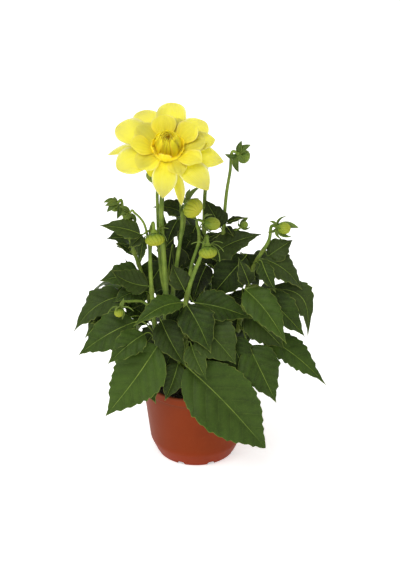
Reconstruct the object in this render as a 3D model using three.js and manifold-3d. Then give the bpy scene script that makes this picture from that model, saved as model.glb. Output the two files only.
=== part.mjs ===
// A potted dahlia: a plastic nursery pot, its soil, eight leafy stems, one open bloom and its buds.
// Millimetres, +Z up, the plant's front towards -Y. The origin is the centre of the pot's foot.

import * as THREE from 'three';
import Module from 'manifold-3d';
import { mergeVertices } from 'three/addons/utils/BufferGeometryUtils.js';

const wasm = await Module();
wasm.setup();

// Pot: the usual 13 cm nursery pot.
const POT_RIM_RADIUS = 65;
const POT_HEIGHT = 100;
const POT_FOOT_RADIUS = 46.5;
const POT_SHOULDER_RADIUS = 54;
const POT_SHOULDER_HEIGHT = 18;
const POT_WALL = 1.6;
const POT_FLOOR = 2;
const POT_COLLAR_HEIGHT = 11;
const POT_COLLAR_STEP = 1.2;
const POT_SEGMENTS = 28;
const DRAIN_SLOTS = 8;
const DRAIN_SLOT_WIDTH = 9;
const DRAIN_SLOT_HEIGHT = 4;

// Soil: it fills the pot to a little below the rim.
const SOIL_TOP = 86;
const SOIL_MOUND = 3;
const STEM_FOOT = 66;
const STEM_HOLE_GAP = 1.1;
const CLEARANCE = 0.35;

// Blades, as thick as their solids need to be.
const LEAF_THICKNESS = 0.9;
const BRACT_THICKNESS = 0.8;
const PETAL_THICKNESS = 0.8;
const LEAF_FOLD = 0.22;
const BRACT_ARCH = 0.16;
const STEM_SIDES = 5;
const LONG_STRETCH = 44; // a longer stretch of a route has a ring at its middle too
const SEAT_SIDES = 6;
const SLIVER = 0.4;

// Bud heads: rings and sectors of the globe, and how far its ribs stand out.
const BUD_RINGS = 5;
const BUD_SECTORS = 10;
const BUD_RIB = 0.05;

// Bloom: where it sits, which way it looks and the reach of its petals.
const BLOOM_CENTRE = [-30, -25, 391];
const BLOOM_AXIS = [0.03, -0.5, 0.866];
const BLOOM_DISC = { radius: 17, low: -7, high: -1, sides: 12 };
const CALYX = { foot: -17, radii: [3, 9], sides: 10 };

// Each stem has a route from its hole in the soil, the branches that leave it, and its leaves.
// A leaf runs from base to tip, leaves its branch at a share of the branch's length, and its upper
// side looks along face. A bud sits on the end of a branch and looks along facing; its bracts are
// the places of their tips from the branch's end.
const STEMS = [
  {
    name: 'bloom_stem',
    branches: [
      { route: [[-20, -6, 66], [-20, -6, 96], [-34, -9, 161], [-34, -12, 217], [-38, -15, 302],
        [-36, -13, 342], [-32, -18, 378]], radii: [3.6, 2.5] },
      { route: [[-34, -11, 205], [-39, -6, 232], [-42, -5, 300], [-42, -3, 338], [-44, -2, 352]],
        radii: [2.2, 1.7] },
    ],
    leaves: [
      { at: 0.20, base: [-39, -32, 185], tip: [-12, -59, 142], width: 36, arch: 0.12,
        face: [-0.1, -0.75, 0.65] },
      { at: 0.30, base: [-58, -7, 210], tip: [-93, -21, 203], width: 30, arch: 0.12, face: [0, -0.5, 0.8] },
      { at: 0.42, base: [-31, 6, 240], tip: [-36, 22, 292], width: 22, arch: -0.1, face: [0.1, -0.9, 0.4] },
      { at: 0.34, base: [-37, 13, 236], tip: [-60, 22, 192], width: 38, arch: 0.1,
        face: [-0.15, -0.85, 0.45] },
    ],
    buds: [
      { name: 'bud_hidden', on: 1, radius: 7, depth: 5, facing: [-0.6, -0.2, -0.5],
        bracts: [[-9, -3, 3], [-6, -6, -7], [2, -9, -5], [4, 6, 5]] },
    ],
  },
  {
    name: 'left_stem',
    branches: [
      { route: [[-34, 10, 66], [-34, 10, 96], [-46, 10, 150], [-63, 6, 231], [-74, 4, 268],
        [-81, 2, 305], [-87, 0, 315]], radii: [3.2, 1.6] },
    ],
    leaves: [
      { at: 0.72, base: [-76, 2, 270], tip: [-99, -8, 276], width: 24, arch: 0.14, face: [0, -0.5, 0.85] },
      { at: 0.66, base: [-74, 3, 256], tip: [-90, -2, 268], width: 13, arch: 0.1, face: [0, -0.6, 0.8] },
      { at: 0.50, base: [-64, -2, 226], tip: [-109, -12, 225], width: 34, arch: 0.14,
        face: [0, -0.6, 0.8] },
      { at: 0.42, base: [-79, 0, 200], tip: [-139, -20, 165], width: 44, arch: 0.2,
        face: [-0.3, -0.5, 0.8] },
      { at: 0.30, base: [-74, -12, 180], tip: [-119, -36, 184], width: 24, arch: -0.05,
        face: [0, -0.7, 0.7] },
      { at: 0.36, base: [-70, 30, 190], tip: [-128, 62, 168], width: 46, arch: 0.2,
        face: [-0.3, 0.3, 0.9] },
      { at: 0.56, base: [-68, 22, 240], tip: [-92, 62, 236], width: 32, arch: 0.16,
        face: [-0.2, 0.3, 0.9] },
      { at: 0.41, base: [-56, 9, 192], tip: [-80, 8, 243], width: 32, arch: 0.1, face: [0, -0.9, 0.4] },
      { at: 0.32, base: [-53, 2, 168], tip: [-89, 0, 195], width: 28, arch: 0.1, face: [-0.1, -0.8, 0.6] },
    ],
    buds: [
      { name: 'bud_left', on: 0, radius: 5.2, depth: 4.5, facing: [-0.65, -0.35, -0.65],
        bracts: [[-15, -3, 3], [-4, 4, 7], [-11, -11, -5], [0, -12, -13], [6, -4, -14], [-13, -8, 1],
          [-10, 8, 1]] },
    ],
  },
  {
    name: 'front_stem',
    branches: [
      { route: [[-34, -24, 66], [-34, -24, 96], [-43, -26, 140], [-49, -25, 208], [-51, -16, 262],
        [-50, -12, 284], [-46, -22, 290]], radii: [3.2, 1.9] },
      { route: [[-51, -15, 266], [-54, -17, 286], [-57, -20, 300], [-62, -20, 308], [-68, -20, 314],
        [-73, -20, 312]], radii: [1.5, 1.2] },
      { route: [[-49, -25, 196], [-60, -31, 209], [-73, -40, 214], [-84, -48, 210]], radii: [1.6, 1.3] },
    ],
    leaves: [
      { at: 0.90, base: [-61, -30, 292], tip: [-105, -36, 305], width: 24, arch: 0.1,
        face: [0.1, -0.65, 0.7] },
      { at: 0.91, base: [-59, -24, 288], tip: [-74, -32, 276], width: 15, arch: 0.1, face: [0, -0.8, 0.5] },
      { at: 0.84, base: [-57, -15, 281], tip: [-62, -20, 250], width: 12, arch: 0.08,
        face: [-0.2, -0.9, 0.2] },
      { at: 0.62, base: [-53, -24, 225], tip: [-94, -38, 252], width: 32, arch: -0.14,
        face: [0, -0.6, 0.8] },
      { at: 0.40, base: [-68, -38, 187], tip: [-132, -52, 152], width: 46, arch: 0.12,
        face: [-0.2, -0.7, 0.7] },
      { at: 0.34, base: [-58, -50, 178], tip: [-98, -72, 152], width: 32, arch: 0.1,
        face: [-0.1, -0.8, 0.6] },
      { at: 0.30, base: [-43, -50, 163], tip: [-103, -66, 80], width: 62, arch: 0.08,
        face: [-0.2, -0.9, 0.45] },
      { at: 0.24, base: [-57, -52, 131], tip: [-45, -76, 103], width: 26, arch: 0.1,
        face: [-0.2, -0.8, 0.5] },
      { at: 0.26, base: [-25, -34, 149], tip: [-41, -40, 113], width: 24, arch: 0.08,
        face: [-0.1, -0.9, 0.4] },
    ],
    buds: [
      { name: 'bud_front_left', on: 0, radius: 10.5, depth: 6.8, facing: [0.1, -0.55, -0.8],
        bracts: [[16, 2, 4], [-4, 5, 7], [7, 4, 9], [12, -4, -9]] },
      { name: 'bud_low_left', on: 2, radius: 5, depth: 5, facing: [-0.25, -0.6, -0.75],
        bracts: [[-14, -4, -5], [15, -2, -3], [2, -3, -13], [-2, 6, -3], [4, 2, 11], [-5, -9, 2]] },
      { name: 'bud_left_inner', on: 1, radius: 4.4, depth: 4, facing: [-0.6, -0.3, -0.6],
        bracts: [[-10, 2, 8], [-9, -4, -2], [-1, -4, -11], [7, -2, -12], [-6, 8, 6], [-5, -10, -3]] },
    ],
  },
  {
    name: 'centre_stem',
    branches: [
      { route: [[-4, -20, 66], [-4, -20, 96], [-12, -26, 160], [-11, -28, 207], [-3, -28, 240],
        [6, -22, 262], [10, -18, 276], [13, -30, 278]], radii: [3.4, 1.9] },
      { route: [[-12, -27, 200], [-8, -21, 228], [-4, -20, 252], [4, -17, 280], [9, -15, 300]],
        radii: [2.2, 1.6] },
    ],
    leaves: [
      { at: 0.60, base: [-10, -36, 207], tip: [17, -68, 163], width: 42, arch: 0.1,
        face: [0.05, -0.8, 0.6] },
      { at: 0.60, base: [-15, -34, 209], tip: [-69, -62, 194], width: 28, arch: 0.16,
        face: [-0.1, -0.5, 0.85] },
      { at: 0.64, base: [-1, -26, 205], tip: [63, -30, 187], width: 38, arch: 0.1,
        face: [0.1, -0.75, 0.65] },
      { at: 0.40, base: [-10, -54, 138], tip: [79, -86, 50], width: 78, arch: 0.08,
        face: [0.08, -0.9, 0.42], belly: 0.85, full: 0.75 },
      { at: 0.42, base: [7, -40, 182], tip: [45, -62, 146], width: 52, arch: 0.1, face: [0.1, -0.8, 0.6] },
      { at: 0.32, base: [-5, -54, 166], tip: [12, -78, 135], width: 26, arch: 0.1, face: [0, -0.9, 0.4] },
      { at: 0.28, base: [-20, -50, 140], tip: [-35, -66, 101], width: 28, arch: 0.1,
        face: [-0.1, -0.9, 0.4] },
      { at: 0.62, base: [-13, -28, 223], tip: [-27, -13, 247], width: 26, arch: 0.06,
        face: [0.1, -0.7, 0.7] },
      { at: 0.30, base: [10, -36, 150], tip: [66, -46, 107], width: 32, arch: 0.08,
        face: [0.1, -0.9, 0.45] },
      { on: 1, at: 0.75, base: [8, -14, 276], tip: [30, -16, 287], width: 11, arch: 0.1,
        face: [0, -0.7, 0.7] },
    ],
    buds: [
      { name: 'bud_front_centre', on: 0, radius: 9.8, depth: 6.5, facing: [0.05, -0.5, -0.85],
        bracts: [[-18, 0, 2], [17, 3, 2], [18, -5, -5], [9, -9, -16], [-2, 6, 6]] },
      { name: 'bud_opening', on: 1, radius: 7, depth: 9, facing: [0.9, -0.3, -0.1],
        bracts: [[9, -3, 10], [12, -8, -8], [4, 9, 6], [-4, -6, -7]] },
    ],
  },
  {
    name: 'middle_stem',
    branches: [
      { route: [[-16, 12, 66], [-16, 12, 96], [-24, 4, 150], [-26, -2, 208], [-21, -7, 248],
        [-15, -11, 300], [-9, -12, 321]], radii: [3.2, 1.9] },
      { route: [[-18, -9, 270], [-14, -4, 284], [-12, 3, 298]], radii: [1.3, 1.1] },
    ],
    leaves: [
      { on: 1, at: 0.95, base: [-15, 6, 301], tip: [-48, 6, 308], width: 22, arch: 0.2,
        face: [0, -0.6, 0.8] },
      { on: 1, at: 0.8, base: [-20, -2, 297], tip: [-33, -8, 266], width: 18, arch: 0.08,
        face: [-0.2, -0.9, 0.2] },
      { at: 0.42, base: [-24, 30, 176], tip: [-26, 84, 160], width: 46, arch: 0.2, face: [0, 0.3, 0.95] },
      { at: 0.56, base: [-16, 18, 226], tip: [-6, 62, 240], width: 34, arch: 0.16, face: [0, 0.1, 1] },
      { at: 0.24, base: [-34, 34, 148], tip: [-76, 76, 106], width: 54, arch: 0.14,
        face: [-0.4, 0.5, 0.75] },
      { at: 0.42, base: [-28, 28, 183], tip: [-53, 28, 245], width: 36, arch: 0.08, face: [0, -0.9, 0.4] },
    ],
    buds: [
      { name: 'bud_centre', on: 0, radius: 11.5, depth: 8.5, facing: [0.55, -0.7, -0.25],
        bracts: [[3, 3, 16], [14, 6, 17], [10, -8, -13], [-8, 5, 4], [-6, -6, -9]] },
    ],
  },
  {
    name: 'tall_stem',
    branches: [
      { route: [[14, 14, 66], [14, 14, 96], [22, 16, 160], [30, 15, 260], [34, 13, 320], [38, 11, 350],
        [47, 8, 371]], radii: [3.2, 1.6] },
      { route: [[30, 15, 262], [38, 15, 273], [46, 12, 278], [51, 10, 282]], radii: [1.3, 1.1] },
    ],
    leaves: [
      { at: 0.52, base: [18, 6, 248], tip: [74, 10, 273], width: 36, arch: 0.12, face: [-0.1, -0.6, 0.8] },
      { at: 0.64, base: [28, 14, 280], tip: [10, 20, 312], width: 30, arch: 0.08,
        face: [-0.2, -0.85, 0.4] },
      { at: 0.70, base: [35, 11, 286], tip: [57, 7, 295], width: 9, arch: 0.12, face: [0, -0.5, 0.85] },
      { at: 0.69, base: [34, 10, 283], tip: [42, 4, 273], width: 9, arch: 0.1, face: [0.2, -0.7, 0.5] },
      { at: 0.44, base: [36, 36, 214], tip: [58, 88, 206], width: 46, arch: 0.2, face: [0.2, 0.4, 0.9] },
      { at: 0.24, base: [34, 36, 146], tip: [74, 80, 104], width: 54, arch: 0.16, face: [0.4, 0.5, 0.75] },
      { at: 0.48, base: [12, 6, 236], tip: [-3, -22, 204], width: 26, arch: 0.14, face: [-0.1, -0.9, 0.4] },
      { at: 0.50, base: [56, 4, 248], tip: [15, -3, 198], width: 42, arch: 0.08, face: [0, -0.9, 0.4] },
      { at: 0.44, base: [27, 42, 193], tip: [66, 44, 222], width: 34, arch: 0.1, face: [0, -0.85, 0.5] },
    ],
    buds: [
      { name: 'bud_tall', on: 0, radius: 7.5, depth: 6.5, facing: [0.75, 0.3, -0.5],
        bracts: [[-15, -3, 1], [3, -1, 16], [13, -3, 12], [0, -4, -20], [7, -8, -8]] },
      { name: 'bud_small', on: 1, radius: 4, depth: 4.5, facing: [0.6, -0.3, 0.6],
        bracts: [[8, 0, 11], [10, -3, 1], [-3, -2, 9], [5, 5, 4]] },
    ],
  },
  {
    name: 'back_stem',
    branches: [
      { route: [[0, 30, 66], [0, 30, 96], [5, 30, 160], [9, 27, 240], [10, 25, 311], [12, 20, 350],
        [5, 23, 366]], radii: [3.2, 1.9] },
    ],
    leaves: [
      { at: 0.66, base: [16, 35, 266], tip: [38, 66, 262], width: 28, arch: 0.18, face: [0.1, 0.3, 0.9] },
      { at: 0.66, base: [-4, 35, 268], tip: [-32, 62, 272], width: 28, arch: 0.18, face: [0, 0.3, 0.9] },
      { at: 0.34, base: [14, 46, 176], tip: [34, 112, 150], width: 52, arch: 0.2, face: [0.1, 0.4, 0.9] },
      { at: 0.16, base: [2, 48, 128], tip: [4, 100, 78], width: 58, arch: 0.14, face: [0, 0.8, 0.6] },
      { at: 0.40, base: [-6, 44, 196], tip: [-48, 94, 186], width: 46, arch: 0.18, face: [-0.1, 0.3, 0.9] },
      { at: 0.58, base: [4, 26, 246], tip: [-20, 30, 267], width: 28, arch: 0.1, face: [0, -0.9, 0.4] },
      { at: 0.50, base: [14, 34, 222], tip: [44, 40, 252], width: 32, arch: 0.1, face: [0, -0.9, 0.4] },
      { at: 0.31, base: [9, 42, 173], tip: [-16, 42, 220], width: 32, arch: 0.1, face: [0, -0.9, 0.4] },
    ],
    buds: [
      { name: 'bud_back', on: 0, radius: 8.5, depth: 7, facing: [-0.3, 0.6, -0.5],
        bracts: [[-12, 2, 8], [12, 3, 8], [0, -6, 13], [9, 8, -8], [-8, 9, -9]] },
    ],
  },
  {
    name: 'right_stem',
    branches: [
      { route: [[30, -6, 66], [30, -6, 96], [46, -4, 150], [60, -1, 217], [67, -2, 242], [82, -4, 273],
        [91, -5, 289]], radii: [3.4, 1.8] },
      { route: [[60, -1, 214], [68, -3, 214], [76, -6, 212]], radii: [1.9, 1.6] },
    ],
    leaves: [
      { at: 0.84, base: [82, -2, 252], tip: [109, 6, 268], width: 28, arch: 0.08, face: [0.1, -0.85, 0.5] },
      { at: 0.78, base: [76, -4, 249], tip: [120, -12, 214], width: 36, arch: 0.14,
        face: [0.3, -0.6, 0.75] },
      { at: 0.76, base: [74, -17, 251], tip: [89, -36, 223], width: 19, arch: 0.12,
        face: [0.1, -0.9, 0.4] },
      { on: 1, at: 0.95, base: [80, -6, 212], tip: [123, -28, 174], width: 32, arch: 0.5,
        face: [0.75, -0.3, 0.6] },
      { on: 1, at: 0.95, base: [77, -14, 208], tip: [123, -36, 167], width: 40, arch: 0.14,
        face: [0.3, -0.75, 0.6] },
      { on: 1, at: 0.5, base: [56, -26, 221], tip: [101, -64, 173], width: 38, arch: 0.12,
        face: [0.1, -0.85, 0.5] },
      { at: 0.52, base: [58, -14, 186], tip: [101, -30, 147], width: 40, arch: 0.12,
        face: [0.1, -0.85, 0.5] },
      { at: 0.42, base: [60, -40, 157], tip: [91, -66, 98], width: 48, arch: 0.08,
        face: [0.25, -0.9, 0.4] },
      { at: 0.40, base: [75, -20, 160], tip: [149, -36, 104], width: 38, arch: 0.1,
        face: [0.3, -0.6, 0.75] },
      { at: 0.46, base: [74, 24, 184], tip: [132, 52, 160], width: 44, arch: 0.2, face: [0.3, 0.3, 0.9] },
      { at: 0.62, base: [70, 18, 226], tip: [98, 48, 232], width: 32, arch: 0.16, face: [0.2, 0.2, 0.95] },
      { at: 0.62, base: [60, -17, 224], tip: [47, -20, 259], width: 20, arch: 0.1,
        face: [-0.1, -0.9, 0.4] },
      { at: 0.74, base: [69, -10, 248], tip: [87, -16, 231], width: 20, arch: 0.12,
        face: [0.2, -0.8, 0.5] },
      { at: 0.50, base: [64, 14, 186], tip: [35, 16, 194], width: 24, arch: 0.1, face: [0, -0.8, 0.6] },
    ],
    buds: [
      { name: 'bud_right', on: 0, radius: 6.5, depth: 7.5, facing: [0.8, -0.5, 0.05],
        bracts: [[9, 1, 13], [22, -6, 1], [15, -9, -6], [-9, 3, 6], [2, 6, -6], [-11, -3, -5],
          [5, -8, -12]] },
    ],
  },
];

// Petals of the bloom: turn about its axis (0 to the plant's right, 90 up the slope of its face),
// length, width, angle above the face at the root and at the tip, and the cup of the section.
const OUTER_PETALS = [
  [85, 62, 30, 26, -6, 0.12], [116, 62, 28, 10, -14, 0], [150, 64, 34, 24, -8, 0.12],
  [181, 64, 13, 0, -24, 0.9], [207, 60, 34, 20, -14, 0.12], [237, 50, 24, 0, -44, 0],
  [267, 64, 30, 20, -22, 0.12], [288, 66, 13, -8, -72, 0.7], [311, 68, 28, 18, -22, 0.12],
  [344, 60, 28, 4, -18, 0], [14, 52, 26, 22, -14, 0.12], [46, 56, 30, 8, -14, 0],
];
const INNER_PETALS = [
  [100, 44, 22, 48, 22, 0.3], [70, 42, 21, 32, 4, 0.05], [39, 42, 22, 46, 16, 0.3],
  [8, 42, 20, 28, 0, 0.05], [325, 46, 22, 40, 8, 0.3], [291, 42, 20, 24, -8, 0.05],
  [258, 36, 19, 38, 2, 0.3], [225, 42, 21, 26, -6, 0.05], [184, 42, 22, 42, 12, 0.3],
  [143, 44, 22, 32, 4, 0.05],
];
// Where each row starts: its distance from the axis and its height over the bloom's centre.
const OUTER_ROW = { start: 13, height: -5, steps: 5 };
const INNER_ROW = { start: 16.4, height: -2.4, steps: 4 };
const PETAL_LANES = 2;
const PETAL_TIP = 0.5;
// Round the middle: small upright petals, then florets that close over a dome.
const HEART_PETALS = {
  count: 8, start: 15.6, height: -2.4, steps: 3, length: 24, width: 10, rise: 78, close: 106, cup: 0.4,
};
const DOME = { radius: 13.8, height: 20, core: 0.8, foot: -0.6 };
const DOME_FLORETS = [
  { count: 9, reach: 1, from: 86, to: 30, fill: 0.8 },
  { count: 5, reach: 0.9, from: 40, to: 16, fill: 0.7 },
];

const COLOURS = {
  pot: [0xa8492a, 0.5], soil: [0x2b211a, 1], green: [0x4c6a2c, 0.55], petal: [0xf2e24a, 0.6],
  centre: [0xf0c52c, 0.6], bud: [0xa9b03a, 0.5],
};

const vector = (xyz) => new THREE.Vector3(...xyz);
const mix = (a, b, share) => a.clone().lerp(b, share);

function material(name) {
  const [color, roughness] = COLOURS[name];
  return new THREE.MeshStandardMaterial({ color, roughness, metalness: 0 });
}

// A closed solid from its points and triangles, turned outwards if they face in.
function solid(points, triangles) {
  let volume = 0;
  for (const [a, b, c] of triangles) {
    volume += points[a].dot(points[b].clone().cross(points[c]));
  }
  const faces = volume < 0 ? triangles.map(([a, b, c]) => [a, c, b]) : triangles;
  return new wasm.Manifold(new wasm.Mesh({
    numProp: 3,
    vertProperties: Float32Array.from(points.flatMap((point) => point.toArray())),
    triVerts: Uint32Array.from(faces.flat()),
  }));
}

function solidFromGeometry(geometry) {
  geometry.deleteAttribute('normal');
  geometry.deleteAttribute('uv');
  const merged = mergeVertices(geometry, 1e-4);
  return new wasm.Manifold(new wasm.Mesh({
    numProp: 3,
    vertProperties: merged.attributes.position.array,
    triVerts: Uint32Array.from(merged.index.array),
  }));
}

function meshFromSolid(name, body, materialName) {
  const { vertProperties, triVerts } = body.getMesh();
  const geometry = new THREE.BufferGeometry();
  geometry.setAttribute('position', new THREE.BufferAttribute(vertProperties, 3));
  geometry.setIndex(new THREE.BufferAttribute(triVerts, 1));
  geometry.computeVertexNormals();
  const mesh = new THREE.Mesh(geometry, material(materialName));
  mesh.name = name;
  return mesh;
}

// What grows together is one body, and the slivers where its pieces meet are taken up.
function join(solids) {
  return solids.reduce((whole, next) => whole.add(next)).simplify(SLIVER);
}

// A thin sheet gets its thickness half to each side, with a wall along its free edges.
function thicken(points, triangles, thicknessAt) {
  const normals = points.map(() => new THREE.Vector3());
  const edges = new Map();
  for (const [a, b, c] of triangles) {
    const normal = points[b].clone().sub(points[a]).cross(points[c].clone().sub(points[a]));
    for (const [from, to] of [[a, b], [b, c], [c, a]]) {
      normals[from].add(normal);
      edges.set(`${from} ${to}`, [from, to]);
    }
  }
  const count = points.length;
  const shifted = (way) => points.map((point, i) => (
    point.clone().addScaledVector(normals[i].normalize(), (way * thicknessAt(i)) / 2)
  ));
  const faces = triangles.flatMap(([a, b, c]) => [[a, b, c], [a + count, c + count, b + count]]);
  for (const [from, to] of edges.values()) {
    if (!edges.has(`${to} ${from}`)) {
      faces.push([from, from + count, to + count], [from, to + count, to]);
    }
  }
  return solid([...shifted(1), ...shifted(-1)], faces);
}

// A stem or stalk: a many-sided section carried along a curve, its radius changing evenly.
function stalk(curve, radii, sides, shares = [0, 1]) {
  const points = [];
  const triangles = [];
  const steps = shares.length - 1;
  const normal = new THREE.Vector3(0, -1, 0);
  for (const share of shares) {
    const centre = curve.getPoint(share);
    const tangent = curve.getTangent(share);
    const radius = THREE.MathUtils.lerp(radii[0], radii[1], share);
    normal.addScaledVector(tangent, -normal.dot(tangent)).normalize();
    const binormal = tangent.clone().cross(normal);
    for (let side = 0; side < sides; side += 1) {
      const angle = (2 * Math.PI * side) / sides;
      points.push(centre.clone()
        .addScaledVector(normal, radius * Math.cos(angle))
        .addScaledVector(binormal, radius * Math.sin(angle)));
    }
  }
  for (let step = 0; step < steps; step += 1) {
    for (let side = 0; side < sides; side += 1) {
      const a = step * sides + side;
      const b = step * sides + ((side + 1) % sides);
      triangles.push([a, b, b + sides], [a, b + sides, a + sides]);
    }
  }
  for (let side = 1; side < sides - 1; side += 1) {
    const top = steps * sides;
    triangles.push([0, side + 1, side], [top, top + side, top + side + 1]);
  }
  return solid(points, triangles);
}

function routeCurve(route) {
  return new THREE.CatmullRomCurve3(route.map(vector), false, 'centripetal');
}

// The shares of a route's curve where its rings stand: at each point, and amid each long stretch.
function ringShares(route) {
  const last = route.length - 1;
  return route.flatMap((point, index) => {
    const stretch = index < last ? vector(point).distanceTo(vector(route[index + 1])) : 0;
    return stretch > LONG_STRETCH ? [index / last, (index + 0.5) / last] : [index / last];
  });
}

// A branch bends over behind its bud, so that it meets the bud's seat from the back.
function budRoute(route, bud) {
  const end = vector(route.at(-1));
  const back = end.clone().addScaledVector(vector(bud.facing).normalize(), -(0.9 * bud.radius + 1.5));
  return [...route.slice(0, -1), back.toArray(), route.at(-1)];
}

// The frame of a blade: its midrib as a bent line, the way across it and its upper side.
function bladeFrame({ base, tip, arch = 0.12, face = [0, 0, 1] }) {
  const start = vector(base);
  const end = vector(tip);
  const along = end.clone().sub(start);
  const length = along.length();
  along.normalize();
  const up = vector(face);
  up.addScaledVector(along, -up.dot(along)).normalize();
  const across = along.clone().cross(up);
  const bend = start.clone().addScaledVector(along, 0.42 * length).addScaledVector(up, 2 * arch * length);
  return { midrib: new THREE.QuadraticBezierCurve3(start, bend, end), across, up, length };
}

// An ovate leaf narrows to its stalk and runs out to a drawn tip. A larger belly moves its widest
// place towards the tip, and a smaller full makes its sides rounder.
function leafHalfWidth({ width, belly = 0.68, full = 1 }, share) {
  return 0.5 * width * Math.sin(Math.PI * share ** belly) ** full * (1 - 0.18 * share ** 3);
}

// A leaf's stalk leaves its branch upwards and meets the midrib's own slope.
function petioleCurve(leaf, branch) {
  const root = branch.curve.getPointAt(leaf.at);
  const base = vector(leaf.base);
  const reach = base.distanceTo(root);
  const slope = bladeFrame(leaf).midrib.getTangent(0);
  const lift = branch.curve.getTangentAt(leaf.at).multiplyScalar(0.2 * reach);
  const rise = mix(root, base, 0.3).add(lift);
  return new THREE.CubicBezierCurve3(root, rise, base.clone().addScaledVector(slope, -0.3 * reach), base);
}

// A leaf is one sheet: a narrow thick strip for its stalk, then half a blade each side of the
// midrib, lifted a little, with forward-pointing teeth.
function leaf(place, branch) {
  const { midrib, across, up, length } = bladeFrame(place);
  const teeth = Math.round(1.6 + place.width / 22);
  const stalkHalf = THREE.MathUtils.clamp(length / 70, 0.8, 1.5);
  const curve = petioleCurve(place, branch);
  const stalkSteps = curve.getLength() > 18 ? 3 : 2;
  const points = [];
  const triangles = [];
  const add = (point) => points.push(point) - 1;
  for (let step = 0; step <= stalkSteps; step += 1) {
    const centre = curve.getPoint(step / stalkSteps);
    const tangent = curve.getTangent(step / stalkSteps);
    const side = across.clone().addScaledVector(tangent, -across.dot(tangent));
    side.add(tangent.clone().cross(up)).normalize();
    add(centre.clone().addScaledVector(side, -stalkHalf));
    add(centre.clone().addScaledVector(side, stalkHalf));
    if (step > 0) {
      const left = 2 * step - 2;
      triangles.push([left, left + 1, left + 3], [left, left + 3, left + 2]);
    }
  }
  const stalkPoints = points.length;
  const edgePoint = (share, side, reach) => {
    const lift = across.clone().cross(midrib.getTangent(share));
    const half = leafHalfWidth(place, share) * reach;
    return midrib.getPoint(share)
      .addScaledVector(across, side * half * Math.cos(LEAF_FOLD))
      .addScaledVector(lift, half * Math.sin(LEAF_FOLD));
  };
  const rib = [null];
  for (let step = 1; step <= teeth; step += 1) {
    rib.push(add(midrib.getPoint(step / teeth)));
  }
  triangles.push([stalkPoints - 2, stalkPoints - 1, rib[1]]);
  for (const side of [1, -1]) {
    const turn = ([a, b, c]) => (side > 0 ? [a, b, c] : [a, c, b]);
    const root = side > 0 ? stalkPoints - 1 : stalkPoints - 2;
    let notch = null;
    for (let step = 0; step < teeth; step += 1) {
      const tooth = add(edgePoint((step + 0.72) / teeth, side, 1.1));
      if (notch !== null) {
        triangles.push(turn([rib[step], notch, tooth]));
      }
      triangles.push(turn([step === 0 ? root : rib[step], tooth, rib[step + 1]]));
      if (step < teeth - 1) {
        notch = add(edgePoint((step + 1) / teeth, side, 0.9));
        triangles.push(turn([rib[step + 1], tooth, notch]));
      }
    }
  }
  const thicknessAt = (index) => (index < stalkPoints - 2 ? 1.7 * stalkHalf : LEAF_THICKNESS);
  return thicken(points, triangles, thicknessAt);
}

// A bract is a short narrow blade with an even edge.
function bract(root, tip, face) {
  const reach = tip.distanceTo(root);
  const blade = { base: root.toArray(), tip: tip.toArray(), arch: BRACT_ARCH, face: face.toArray() };
  const { midrib, across } = bladeFrame(blade);
  const half = THREE.MathUtils.clamp(0.17 * reach, 1.4, 3);
  const points = [midrib.getPoint(0), midrib.getPoint(0.5), midrib.getPoint(1)];
  const triangles = [];
  for (const side of [1, -1]) {
    const edge = points.push(midrib.getPoint(0.42).addScaledVector(across, side * half)) - 1;
    const fan = [[0, edge, 1], [1, edge, 2]];
    triangles.push(...fan.map(([a, b, c]) => (side > 0 ? [a, b, c] : [a, c, b])));
  }
  return thicken(points, triangles, () => BRACT_THICKNESS);
}

// The end of a branch widens into the seat that a bud rests on.
function budSeat(end, facing, radius) {
  const back = end.clone().addScaledVector(facing, -0.3 * radius);
  const front = end.clone().addScaledVector(facing, 0.12 * radius);
  return stalk(new THREE.LineCurve3(back, front), [0.22 * radius + 0.6, 0.46 * radius], SEAT_SIDES);
}

function budSolids(bud, branch) {
  const end = branch.curve.getPointAt(1);
  const facing = vector(bud.facing).normalize();
  const bracts = bud.bracts.map((place) => {
    const forward = vector(place).dot(facing);
    const out = vector(place).addScaledVector(facing, -forward);
    const spread = forward > -2 ? Math.max(out.length(), 1.15 * bud.radius + 1.5) : out.length();
    out.normalize();
    const root = end.clone().addScaledVector(out, 0.3 * bud.radius);
    root.addScaledVector(facing, -0.12 * bud.radius);
    const tip = end.clone().addScaledVector(out, spread).addScaledVector(facing, forward);
    return bract(root, tip, out.clone().addScaledVector(facing, -0.7));
  });
  return [budSeat(end, facing, bud.radius), ...bracts];
}

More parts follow.
